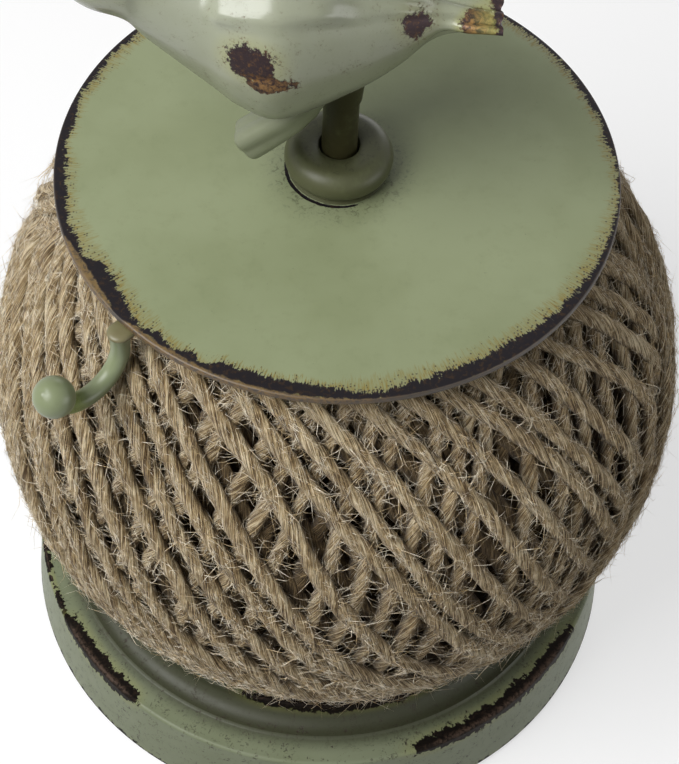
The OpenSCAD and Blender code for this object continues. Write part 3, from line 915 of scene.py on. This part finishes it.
@dataclass
class Bird:
    """Small cast bird on the spindle's top: body, folded wings, tail, feet and socket."""
    middle: float = 164.5
    wing_rise: float = 1.2
    tail_start: float = 11.0
    eye: Point = (-40.0, -8.35, 12.4)
    eye_radius: float = 1.5
    foot_place: Point = (-15.4, 6.0, 139.5)
    foot_tilt: float = -40.0
    # along, up, half width and half height of the body's and the foot's ovals
    rows: Rows = (
        (-52.5, 8.2, 0.5, 0.5), (-46.5, 9.2, 3.5, 3.15), (-43.1, 9.9, 6.8, 6.8), (-39.0, 10.0, 9.2, 9.3),
        (-33.45, 9.8, 10.5, 10.5), (-30.1, 6.1, 10.5, 10.6), (-20.7, 1.0, 13.2, 13.4),
        (-15.1, 0.0, 16.1, 16.1), (-8.7, 0.0, 17.4, 17.4), (2.1, 0.2, 12.6, 12.6), (8.5, 1.3, 9.2, 9.2),
        (14.1, 2.6, 6.05, 4.7), (19.65, 3.3, 6.8, 2.25), (24.0, 3.5, 7.2, 1.5))
    toe_rows: Rows = (
        (21.0, 3.8, 2.0, 2.0), (17.0, 2.2, 2.4, 2.3), (14.0, 1.2, 2.6, 2.4), (10.0, 0.5, 2.75, 2.5),
        (6.0, 0.25, 2.8, 2.6), (3.0, 0.1, 2.85, 2.7), (1.0, 0.0, 2.85, 2.75), (0.35, 0.0, 2.75, 2.65),
        (0.1, 0.0, 2.6, 2.5), (0.0, 0.0, 2.4, 2.3))
    neck: Rows = (
        (3.06, 145.1), (3.4, 145.1), (3.5, 146.5), (3.65, 148.0), (3.95, 149.4), (4.4, 150.6),
        (5.0, 151.8), (5.6, 152.9), (6.3, 154.1), (7.1, 155.0), (7.9, 155.8), (8.2, 157.0),
        (3.06, 157.0))

    def stations(self, parts: int = 6) -> list[tuple[Point, float, float]]:
        """Ovals along the body on a smooth curve through the rows."""
        rows = np.array(self.rows)
        last = len(rows) - 1
        made = []
        for i in range(last * parts + 1):
            u = i / parts
            k = min(int(u), last - 1)
            a, b, c, d = (rows[min(max(j, 0), last)] for j in (k - 1, k, k + 1, k + 2))
            t = u - k
            row = 0.5 * (2 * b + (c - a) * t + (2 * a - 5 * b + 4 * c - d) * t ** 2
                         + (3 * b - a - 3 * c + d) * t ** 3)
            made.append(((row[0], 0.0, self.middle + row[1]), row[2], row[3]))
        return made

    def carve(self, spots: Array, normals: Array) -> Array:
        """Raise the wings, cut their feathers and groove the tail."""
        x, y, up = spots.T - np.array([[0], [0], [self.middle]])
        high = np.degrees(np.arctan2(up, np.abs(y)))
        along = np.clip((x + 18.3) / 33.6, 0, 1)
        wing = (ease((x + 21.0) / 3) * ease((15.3 - x) / 6) * ease((high - 30 - 10 * along) / 4.5)
                * ease((84 - 10 * along - high) / 9))
        quill = 0.5 + 0.5 * np.cos((high - 30) / 54 * 5 * 2 * math.pi)
        vane = ease((x + 6) / 6) * 0.3 * quill ** 3
        flat = (0.35 + 0.6 * np.clip(((high - 46) / 16) ** 2, 0, 1)
                + 0.75 * np.clip(((x + 11.5) / 8) ** 2, 0, 1) * ease((2 - x) / 6))
        moved = spots + normals * (wing * (self.wing_rise * flat - vane))[:, None]
        blade = ease((x - self.tail_start) / 5)
        groove = 0.5 + 0.5 * np.cos(y / 7.0 * 2.5 * 2 * math.pi)
        moved -= normals * (0.6 * blade * groove ** 2 * ease((7.0 - np.abs(y)) / 1.5))[:, None]
        throat = ease((-35 - x) / 3) * ease((x + 47) / 3)
        moved -= normals * (0.22 * throat * np.exp(-((up - 8.3) / 0.9) ** 2))[:, None]
        return moved

    def foot(self, side: float) -> Piece:
        """Draw a tucked-up foot, a blunt bar with three toes, on the near side, -1, or the far one, 1."""
        rows = [((x, 0.0, up), wide, tall) for x, up, wide, tall in self.toe_rows]
        made = lofted(f"bird_foot_{'far' if side > 0 else 'near'}", rows, 44, 60)

        def toes(spots: Array, normals: Array) -> Array:
            """Square the bar a little and press two shallow grooves between the toes."""
            x, y, z = spots.T
            turn = np.arctan2(z, y)
            square = 0.27 * np.abs(np.sin(2 * turn)) ** 1.5
            gap = np.exp(-((np.abs(y) - 1.05) / 0.3) ** 2) * ease((6.0 - x) / 4)
            moved = spots - normals * (0.08 * gap * (z > 0))[:, None]
            moved[:, 1:] *= 1 + square[:, None]
            return moved
        sculpt(made, toes)
        x, y, z = self.foot_place
        tucked = Matrix.Rotation(math.radians(self.foot_tilt), 4, "Y")
        return shifted(made, Matrix.Translation(Vector((x, side * y, z)) * MM) @ tucked)

    def socket(self) -> Piece:
        """Turn the flared neck that takes the spindle."""
        return turned("bird_socket", list(self.neck), 72, 60)

    def eyes(self) -> Piece:
        """Shape one low bead of enamel and copy it to the other side."""
        clear()
        x, y, up = self.eye
        bpy.ops.mesh.primitive_uv_sphere_add(segments=24, ring_count=14, radius=self.eye_radius * MM)
        edit()
        bpy.ops.transform.resize(value=(1, 0.55, 1), center_override=(0, 0, 0))
        bpy.ops.transform.translate(value=metres(x, y, self.middle + up))
        eye = leave("bird_eyes", 80)
        bpy.ops.object.duplicate()
        other = bpy.context.object
        other.data.transform(Matrix.Scale(-1, 4, (0, 1, 0)))
        other.data.flip_normals()
        clear()
        other.select_set(True)
        eye.select_set(True)
        bpy.context.view_layer.objects.active = eye
        bpy.ops.object.join()
        return eye

    def finish(self) -> WornPaint:
        """Paint with the patches worn through on the flanks, rump, tail and beak."""
        wears = tuple(SpotWear(reach, cut, ragged, halo, bristle, bare, (x, y, self.middle + up), size)
                      for reach, cut, ragged, halo, bristle, bare, (x, y, up), size in (
            (7.0, 0.46, 0.95, 0.5, 0.5, 0.0, (-13.6, -16.0, 3.4), (7.6, 7.0, 5.6)),
            (6.0, 0.4, 0.9, 0.0, 0.3, 0.8, (-10.6, -15.8, 0.3), (6.8, 5.0, 3.2)),
            (6.0, 0.46, 0.7, 0.4, 0.4, 0.35, (9.8, -5.6, 4.2), (6.0, 5.4, 5.4)),
            (4.6, 0.3, 0.8, 0.8, 0.3, 1.0, (20.4, -5.4, 3.2), (4.6, 4.0, 4.0)),
            (8.6, 0.52, 0.6, 0.8, 0.5, 0.2, (26.4, 0.0, 3.5), (8.6, 24.0, 14.0)),
            (7.0, 0.46, 0.8, 0.7, 0.8, 0.4, (-10.0, 15.0, 5.0), (8.0, 6.0, 6.0)),
            (5.0, 0.46, 0.6, 0.7, 0.8, 0.3, (-53.5, 0.0, 8.2), (5.6, 6.0, 6.0))))
        return WornPaint(
            "bird_paint", wears,
            paint=tint(144, 148, 124), pale=tint(152, 156, 136), brown=tint(96, 70, 46),
            ochre=tint(158, 116, 60), dark=tint(52, 42, 44), gloss=0.16, shine=0.48)

    def build(self) -> None:
        """Make and dress the bird's pieces."""
        paint = self.finish().make()
        body = lofted("bird_casting", self.stations(), 104, 55)
        sculpt(body, self.carve)
        dress(body, paint, Body.BIRD, Slot.PAINT, "bird_body")
        # the feet's darker paint is painted shade from the body above them
        toes = WornPaint("bird_foot_paint_shaded", paint=tint(110, 115, 90), pale=tint(122, 127, 104), gloss=0.24,
                         shine=0.3).make()
        for side in (-1.0, 1.0):
            dress(self.foot(side), toes, Body.BIRD, Slot.PAINT)
        # the socket wears the rod's paint, darkened as painted shade under the bird
        dress(self.socket(), Spindle.paint("socket_paint_shaded").make(), Body.BIRD, Slot.PAINT)
        dress(self.eyes(), EYE_ENAMEL.make(), Body.BIRD, Slot.PAINT)


@dataclass(frozen=True)
class Winding:
    """One layer pair of the ball: strands laid down and up again that creep round a leaning axis."""
    loops: int
    shift: int
    sink: float
    ply: float
    step: float
    sides: int
    per_loop: int
    pieces: int
    seed: int
    wander: float


@dataclass(frozen=True)
class Hairs:
    """One sort of stray fibre: how many for each piece of strand, how long and how loose."""
    count: int
    length: float
    spread: float
    longest: float
    lift: tuple[float, float]
    loose: float
    thin: tuple[float, float]
    bent: bool


BENT_FACES = ((0, 2, 1), (0, 1, 4), (0, 4, 3), (1, 2, 5), (1, 5, 4), (2, 0, 3), (2, 3, 5), (3, 4, 6),
              (4, 5, 6), (5, 3, 6))
STRAIGHT_FACES = ((0, 2, 1), (0, 1, 3), (1, 2, 3), (2, 0, 3))


@dataclass
class TwineBall:
    """Cross-wound ball of jute: two crossing layers, a fill below them, a core and stray fibres."""
    belly: float = 62.2
    middle: float = 72.0
    half_up: float = 52.2
    half_down: float = 47.7
    fullness: float = 1.29
    turn_lat: float = 57.0
    pitch: float = 20.0
    lean: float = 11.4
    lean_toward: float = 136.0
    swell: float = 0.7
    sag: float = 1.58
    sag_toward: float = -34.0
    lead: float = 20.0
    slope: float = 0.31
    slope_gain: float = 0.43
    loop_length: float = 380.0
    seam: float = -36.0
    seam_lean: float = 1.15
    seam_half: float = 9.0
    ceiling: float = 123.6
    ground: float = 24.4
    shoulder: float = 105.0
    shoulder_room: float = 2.6
    core_depth: float = 6.9
    core_hole: float = 3.6
    core_flat: float = 20.0
    outer: Winding = Winding(52, 31, 0.0, 1.36, 2.0, 12, 268, 3, 5, 2.3)
    inner: Winding = Winding(44, 27, 3.8, 1.5, 0.6, 8, 140, 1, 9, 1.8)
    stray: Hairs = Hairs(18500, 1.45, 0.42, 9.0, (0.0, 0.42), 1.0, (0.035, 0.06), True)
    nap: Hairs = Hairs(42000, 0.8, 0.4, 4.0, (0.02, 0.3), 0.4, (0.035, 0.06), False)

    def curve(self, lat: Array, depth: Any) -> tuple[Array, Array]:
        """Radius and height of the ball at a latitude in degrees, sunk below the outer strands' middle."""
        top = math.sin(math.radians(self.turn_lat))
        flat_from = 2 / self.fullness - top
        rate = self.fullness / 2 / (top - flat_from)
        sine, cosine = np.sin(np.radians(lat)), np.cos(np.radians(lat))
        half = np.where(lat > 0, self.half_up, self.half_down)
        over = np.maximum(0, np.minimum(np.abs(sine), top) - flat_from)
        up = np.sign(lat) * half * (self.fullness * np.minimum(np.abs(sine), top) - rate * over ** 2)
        slope = half * cosine * np.maximum(0.0, self.fullness - 2 * rate * over)
        normal = np.stack([slope, self.belly * sine])
        normal /= np.linalg.norm(normal, axis=0)
        return self.belly * cosine - depth * normal[0], self.middle + up - depth * normal[1]

    @staticmethod
    def drift(rng: Rng, length: Array, every: float) -> Array:
        """Smooth seeded noise along a length, about -1 to 1."""
        count = int(length[-1] / every) + 4
        knots = rng.uniform(-1, 1, count)
        place = length / every
        k = place.astype(int)
        t = ease(place - k)
        return knots[k] * (1 - t) + knots[k + 1] * t

    def leaned(self, lat: Array, azimuth: Array) -> tuple[Array, Array]:
        """Turn latitude and azimuth about the winding's leaning axis into the spindle's, in degrees."""
        high, turn = np.radians(lat), np.radians(azimuth)
        spots = np.stack([np.cos(high) * np.cos(turn), np.cos(high) * np.sin(turn), np.sin(high)])
        toward = math.radians(self.lean_toward)
        pivot = Vector((-math.sin(toward), math.cos(toward), 0))
        x, y, z = np.array(Matrix.Rotation(math.radians(self.lean), 3, pivot)) @ spots
        return np.degrees(np.arcsin(np.clip(z, -1, 1))), np.degrees(np.arctan2(y, x))

    def swept(self, lat: Array) -> Array:
        """Azimuth gained from the waist to a latitude, in degrees."""
        return self.slope * lat + self.slope_gain * lat ** 3 / 2700

    def path(self, lay: Winding, rng: Rng) -> Array:
        """Middle line of a winding, loop after loop.

        Args:
            lay, rng: the winding's numbers and its seeded random source.
        Returns:
            Rows of a point and how far it lies under the crossing strands, 0 to 1.
        """
        turn = np.arange(lay.loops * lay.per_loop + 1) * 360.0 / lay.per_loop
        loop = np.floor(turn / 360.0)
        part = turn - loop * 360.0
        lat = self.turn_lat * np.arcsin(0.7 * np.cos(np.radians(part))) / math.asin(0.7)
        reach = float(self.swept(np.array(self.turn_lat)))
        creep = 360.0 * lay.shift / lay.loops
        down = self.lead + 2 * reach
        up_share = (creep - down - self.lead) / (2 * reach)
        passed = np.where(part < 180, self.lead * part / 180 + reach - self.swept(lat),
                          down + self.lead * (part / 180 - 1) + (reach + self.swept(lat)) * up_share)
        length = turn / 360.0 * self.loop_length
        azimuth = loop * creep + passed + lay.wander * (
            0.9 * self.drift(rng, length, 120.0) + 0.5 * self.drift(rng, length, 26.0))
        layer_lat = np.abs(lat)
        lat, azimuth = self.leaned(lat, azimuth)
        seam = self.seam + self.seam_lean * lat
        half = math.sin(math.radians(self.seam_half))
        over = ease(0.5 + np.sin(np.radians(azimuth - seam)) / (2 * half))
        level = np.where(part < 180, over, 1 - over)
        level = level + (0.5 - level) * ease((layer_lat - 46) / 8)
        depth = lay.sink + lay.step * level + 0.16 * (1 + self.drift(rng, length, 9.0))
        radius, height = self.curve(lat, depth)
        bearing = np.radians(azimuth)
        radius = radius + ease((38 - lat) / 18) * ease((62 + lat) / 14) * (
            self.swell + self.sag * np.cos(bearing - math.radians(self.sag_toward)))
        return np.stack([radius * np.cos(bearing), radius * np.sin(bearing), height, level], axis=1)

    def frames(self, points: Array) -> tuple[Array, Array, Array, Array]:
        """Length, direction, outward and sideways vectors along a path."""
        step = np.linalg.norm(np.diff(points, axis=0), axis=1)
        length = np.concatenate([[0.0], np.cumsum(step)])
        ahead = unit(np.gradient(points, axis=0))
        out = points - np.array([0, 0, self.middle])
        out = unit(out - ahead * np.sum(out * ahead, axis=1)[:, None])
        return length, ahead, out, np.cross(ahead, out)

    def strand(self, name: str, points: Array, lay: Winding, rng: Rng) -> Piece:
        """Twist a ridged tube along a path, closed at both ends.

        Args:
            name, points: the piece's name and its rows from path.
            lay, rng: the winding's numbers and a seeded random source.
        Returns:
            The strand.
        """
        points, level = points[:, :3], points[:, 3]
        length, _, out, aside = self.frames(points)
        rings, sides = len(points), lay.sides
        around = np.arange(sides) * FULL_TURN / sides
        ridge = np.stack([self.drift(rng, length, 13.0) for _ in range(sides)], axis=1)
        thick = lay.ply * (1 + 0.1 * self.drift(rng, length, 11.0) + 0.05 * self.drift(rng, length, 3.5))
        angle = around[None, :] + (FULL_TURN * length / self.pitch)[:, None]
        reach = thick[:, None] * (1 + 0.06 * np.cos(2 * around)[None, :] + 0.12 * ridge
                                  + 0.03 * rng.uniform(-1, 1, (rings, sides)))
        spots = (points[:, None, :] + (0.95 * reach * np.cos(angle))[..., None] * out[:, None, :]
                 + (1.04 * reach * np.sin(angle))[..., None] * aside[:, None, :]).reshape(-1, 3)
        i, j = np.meshgrid(np.arange(rings - 1), np.arange(sides), indexing="ij")
        k = (j + 1) % sides
        quads = np.stack([i * sides + j, (i + 1) * sides + j, (i + 1) * sides + k, i * sides + k],
                         axis=-1).reshape(-1, 4)[:, ::-1]
        along = np.repeat(length / 100.0, sides)[quads]
        share = (j / sides).ravel()
        across = np.stack([share + 1 / sides, share + 1 / sides, share, share], axis=-1)
        made = woven(name, spots, quads, lay=np.stack([along, across], axis=-1),
                     OFBake=self.rolled_out(rings, i.ravel(), across))
        # painted shade, noted on each point: the strand's inward flank and how far it runs under the crossing
        # strands
        sunk = (0.24 * level[:, None] + 0.74 * (0.5 - 0.5 * np.cos(angle))).ravel()
        jot(made, PAINTED_SHADE, np.stack([sunk] * 3, axis=1))
        self.cap(made)
        return made

    @staticmethod
    def rolled_out(rings: int, ring: Array, across: Array, rows: int = 34) -> Array:
        """Lay a long tube out flat in rows, one under the other.

        Args:
            rings, rows: rings of the tube and rows to lay.
            ring, across: each face's ring, and each face corner's share round the tube.
        Returns:
            Map coordinates of each face corner.
        """
        each = math.ceil((rings - 1) / rows)
        row, start = ring // each, ring % each
        ahead = np.array([0, 1, 1, 0])[::-1]
        flat_x = 0.002 + 0.996 * (start[:, None] + ahead[None, :]) / each
        flat_y = (row[:, None] + 0.06 + 0.88 * across) / rows
        return np.stack([flat_x, flat_y], axis=-1)

    @staticmethod
    def cap(tube: Piece) -> None:
        """Close a tube's open ends."""
        clear()
        tube.select_set(True)
        bpy.context.view_layer.objects.active = tube
        edit()
        bpy.ops.mesh.fill_holes(sides=0)
        bpy.ops.mesh.select_all(action="SELECT")
        bpy.ops.mesh.normals_make_consistent(inside=False)
        bpy.ops.object.mode_set(mode="OBJECT")

    def hairs(self, points: Array, lay: Winding, sort: Hairs, rng: Rng) -> tuple[Array, Array]:
        """Scatter one sort of fibre over a strand, half of it in tufts, clear of lid and foot.

        Args:
            points, lay: the strand's middle line and its winding's numbers.
            sort, rng: the fibres' numbers and a seeded random source.
        Returns:
            Points of every fibre, and one fibre's faces.
        """
        _, ahead, out, aside = self.frames(points)
        count = sort.count
        pick = rng.integers(3, len(points) - 3, count)
        angle = rng.normal(0, 1.15, count)
        tuft = np.where(rng.random(count) < 0.5, np.arange(count), rng.integers(0, count // 8, count))
        pick = np.clip(pick[tuft] + rng.integers(-1, 2, count), 2, len(points) - 3)
        angle = angle[tuft] + rng.normal(0, 0.25, count)
        away = np.cos(angle)[:, None] * out[pick] + np.sin(angle)[:, None] * aside[pick]
        root = points[pick] + away * lay.ply * 0.88 + ahead[pick] * rng.uniform(-0.7, 0.7, count)[:, None]
        way = rng.choice([-1.0, 1.0], count)[:, None]
        long = np.clip(rng.lognormal(sort.length, sort.spread, count), 1.0, sort.longest)[:, None]
        lift = rng.uniform(*sort.lift, count)[:, None]
        turn = rng.normal(0, sort.loose, count)[:, None]
        first = unit(way * np.cos(turn) * ahead[pick] + np.sin(turn) * aside[pick] + lift * away)
        bend = unit(first + rng.normal(0, 0.5, (count, 3)) - 0.35 * out[pick])
        knee = root + first * long * 0.5
        tip = knee + (bend if sort.bent else first) * long * 0.5
        ends = np.stack([knee, tip])
        far, high = np.hypot(ends[..., 0], ends[..., 1]), ends[..., 2]
        tight = (high > self.ceiling) | (high < self.ground)
        lats = np.linspace(20, self.turn_lat, 40)
        edge, level = self.curve(lats, -lay.ply)
        tight |= (high > self.shoulder) & (far > np.interp(high, level, edge) + self.shoulder_room)
        held = ~np.any(tight, axis=0)
        root, knee, tip, first = root[held], knee[held], tip[held], first[held]
        wide = unit(np.cross(first, rng.normal(0, 1, first.shape)))
        deep = np.cross(first, wide)
        thin = rng.uniform(*sort.thin, len(root))[:, None]
        corners = [(math.cos(t), math.sin(t)) for t in (0, FULL_TURN / 3, 2 * FULL_TURN / 3)]
        rows = [root + thin * (c * wide + s * deep) for c, s in corners]
        if sort.bent:
            rows += [knee + 0.8 * thin * (c * wide + s * deep) for c, s in corners]
        return np.stack(rows + [tip], axis=1), np.array(BENT_FACES if sort.bent else STRAIGHT_FACES)

    def fuzz(self, name: str, points: Array, lay: Winding, sort: Hairs, rng: Rng) -> Piece:
        """Make one sort of stray fibre over a strand as one piece, from what hairs takes."""
        made, one = self.hairs(points, lay, sort, rng)
        count, each = made.shape[:2]
        faces = (one[None] + (each * np.arange(count))[:, None, None]).reshape(-1, 3)
        cell = np.repeat(np.arange(count), len(one))
        grid = math.ceil(math.sqrt(count))
        corner = np.array([[0.15, 0.15], [0.85, 0.15], [0.5, 0.85]])
        spread = (np.stack([cell % grid, cell // grid], axis=-1)[:, None, :] + corner[None]) / grid
        return woven(name, made.reshape(-1, 3), faces, OFBake=spread)

    def core(self) -> Piece:
        """Turn the ball's core and dent it as packed twine."""
        lat = np.linspace(-self.turn_lat, self.turn_lat, 46)
        radius, height = self.curve(lat, self.core_depth)
        outline = ([(self.core_hole, height[0] + 0.4), (self.core_flat, height[0])]
                   + [(float(r), float(z)) for r, z in zip(radius, height)]
                   + [(self.core_flat, height[-1]), (self.core_hole, height[-1] - 0.4)])
        made = turned("twine_core_ball", outline, 120, 60)

        def packed(spots: Array, normals: Array) -> Array:
            """Press in the marks of crossing strands."""
            x, y, z = spots.T
            turn, up = np.degrees(np.arctan2(y, x)), z - self.middle
            mark = np.sin(np.radians(30 * turn + 14 * up)) + np.sin(np.radians(30 * turn - 14 * up))
            side = ease((np.hypot(x, y) - 30) / 6)
            return spots - normals * (0.35 * (1 + mark / 2) * side)[:, None]
        sculpt(made, packed)
        return made

    def build(self) -> None:
        """Wind and dress the ball."""
        rng = np.random.default_rng(self.outer.seed)
        points = self.path(self.outer, rng)
        marks = np.linspace(0, len(points) - 1, self.outer.pieces + 1).astype(int)
        twine, fibre = Jute("jute_twine").make(), STRAY_FIBRE.make()
        for name, start, end in zip(("one", "two", "three"), marks, marks[1:]):
            part, nodes = points[start:end + 1], ("twine_winding",) if start == 0 else ()
            dress(self.strand(f"twine_strand_{name}", part, self.outer, rng), twine, Body.BALL, Slot.JUTE,
                  *nodes)
            for kind, sort in (("fuzz", self.stray), ("nap", self.nap)):
                dress(self.fuzz(f"twine_{kind}_{name}", part[:, :3], self.outer, sort, rng), fibre, Body.BALL,
                      Slot.JUTE)
        below = np.random.default_rng(self.inner.seed)
        fill = self.strand("twine_fill", self.path(self.inner, below), self.inner, below)
        # the fill's darker tones are painted shade for the layer under the crossing strands
        shaded = Jute("jute_fill_shaded", tint(66, 50, 30), tint(122, 101, 69), tint(172, 148, 108))
        dress(fill, shaded.make(), Body.BALL, Slot.JUTE)
        dress(self.core(), WOUND_CORE.make(), Body.BALL, Slot.JUTE, "twine_core")


@dataclass
class Spindle:
    """Painted rod between foot and bird; its solid is kept."""

    @staticmethod
    def paint(name: str) -> WornPaint:
        """Dark olive paint of the rod and of the socket that takes it: the sage darkened as painted shade
        under the bird.
        """
        return WornPaint(name, (EdgeWear(radius=3.0, height=12.0, reach=9.0, halo=0.3, bristle=0.3),),
                         paint=tint(48, 46, 26), pale=tint(55, 53, 32), gloss=0.34, shine=0.12)

    def build(self) -> None:
        """Dress the rod."""
        repaint("spindle_rod", self.paint("rod_paint_shaded").make())


@dataclass
class Studio:
    """Pale floor, four soft lamps, an even sky and the camera."""
    elevation: float = 54.79
    roll: float = 3.3
    distance: float = 0.4029
    target: Point = (0.0023, 0.0, 0.06445)
    lens: float = 97.8
    sky: float = 0.092
    floor_size: float = 8.0
    floor_glow: float = 0.62
    floor_lit: float = 0.14
    floor_seen: float = 0.42
    # name, direction, distance, width, height, power
    lamps: Sequence[tuple[str, Point, float, float, float, float]] = (
        ("soft_box", (-0.60, -0.37, 0.71), 0.7, 0.52, 0.44, 6.25),
        ("front_box", (-0.25, -0.80, 0.55), 0.9, 0.46, 0.36, 0.4),
        ("side_box", (0.92, -0.35, 0.13), 1.0, 0.6, 0.36, 2.2),
        ("back_box", (0.25, 0.95, 0.18), 1.0, 0.6, 0.6, 2.2))

    def camera(self) -> None:
        """Set the camera at the photograph's angle."""
        rise, lean = math.radians(self.elevation), math.radians(self.roll)
        ahead = Vector((0, math.cos(rise), -math.sin(rise)))
        flat = Vector((1, 0, 0))
        over = flat.cross(ahead)
        right = math.cos(lean) * flat + math.sin(lean) * over
        above = -math.sin(lean) * flat + math.cos(lean) * over
        data = bpy.data.cameras.new("photo_camera")
        data.lens, data.sensor_width, data.sensor_fit = self.lens, 36.0, "AUTO"
        data.clip_start = 0.01
        made = placed("photo_camera", data)
        spot = Vector(self.target) - self.distance * ahead
        made.matrix_world = Matrix.Translation(spot) @ Matrix((right, above, -ahead)).transposed().to_4x4()
        bpy.context.scene.camera = made

    @staticmethod
    def lamp(name: str, toward: Point, away: float, wide: float, tall: float, power: float) -> None:
        """Hang a soft lamp that faces the object.

        Args:
            name, toward: its name and the direction from the object to it.
            away, wide, tall: its distance and size in metres.
            power: its power in watts.
        """
        data = bpy.data.lights.new(name, "AREA")
        data.shape, data.size, data.size_y, data.energy = "RECTANGLE", wide, tall, power
        made = placed(name, data)
        aim = Vector(toward).normalized()
        made.location = Vector((0, 0, 0.1)) + aim * away
        made.rotation_euler = aim.to_track_quat("Z", "Y").to_euler()

    @staticmethod
    def seen(bench: NodeBench) -> Shade:
        """1 for rays that show the background itself."""
        path = bench.node("LightPath", {}, "Is Camera Ray")
        outs = path.socket.node.outputs
        glossy, through = Shade(bench, outs["Is Glossy Ray"]), Shade(bench, outs["Is Transmission Ray"])
        return path.most(glossy).most(through)

    def world(self) -> None:
        """Light the scene evenly, and show white behind it."""
        world = bpy.data.worlds.new("studio_sky")
        bpy.context.scene.world = world
        world.use_nodes = True
        bench = NodeBench("studio_sky_nodes")
        bpy.data.materials.remove(bench.material)
        bench.tree = world.node_tree
        bench.tree.nodes.clear()
        dim = (self.sky, self.sky, self.sky * 1.02, 1.0)
        colour = bench.mix(self.seen(bench), dim, grey(1.0))
        bench.end("World", bench.node("Background", {"Color": colour, "Strength": 1.0}))

    def floor(self) -> None:
        """Lay the pale floor, which keeps a soft shadow."""
        clear()
        bpy.ops.mesh.primitive_plane_add(size=self.floor_size, location=(0, 0, 0))
        floor = bpy.context.object
        floor.name = "studio_floor"
        bench = NodeBench("floor_paper")
        glow = bench.mix(self.seen(bench), grey(0.0), grey(self.floor_glow))
        paper = bench.mix(self.seen(bench), grey(self.floor_lit), grey(self.floor_seen))
        bench.finish(paper, 0.9, Specular_IOR_Level=0.0, Emission_Color=glow, Emission_Strength=1.0)
        floor.data.materials.append(bench.material)

    def build(self) -> None:
        """Set up everything that isn't the object."""
        bpy.context.scene.view_settings.view_transform = "Standard"
        self.camera()
        for lamp in self.lamps:
            self.lamp(*lamp)
        self.world()
        self.floor()


def main() -> None:
    """Build the studio and each sub-assembly."""
    logging.basicConfig(level=logging.INFO, format="%(name)s: %(message)s")
    for assembly in (Studio(), Foot(), Spindle(), TwineBall(), Lid(), Hook(), Bird()):
        log.info("building %s", type(assembly).__name__)
        assembly.build()


if __name__ == "__main__":
    main()
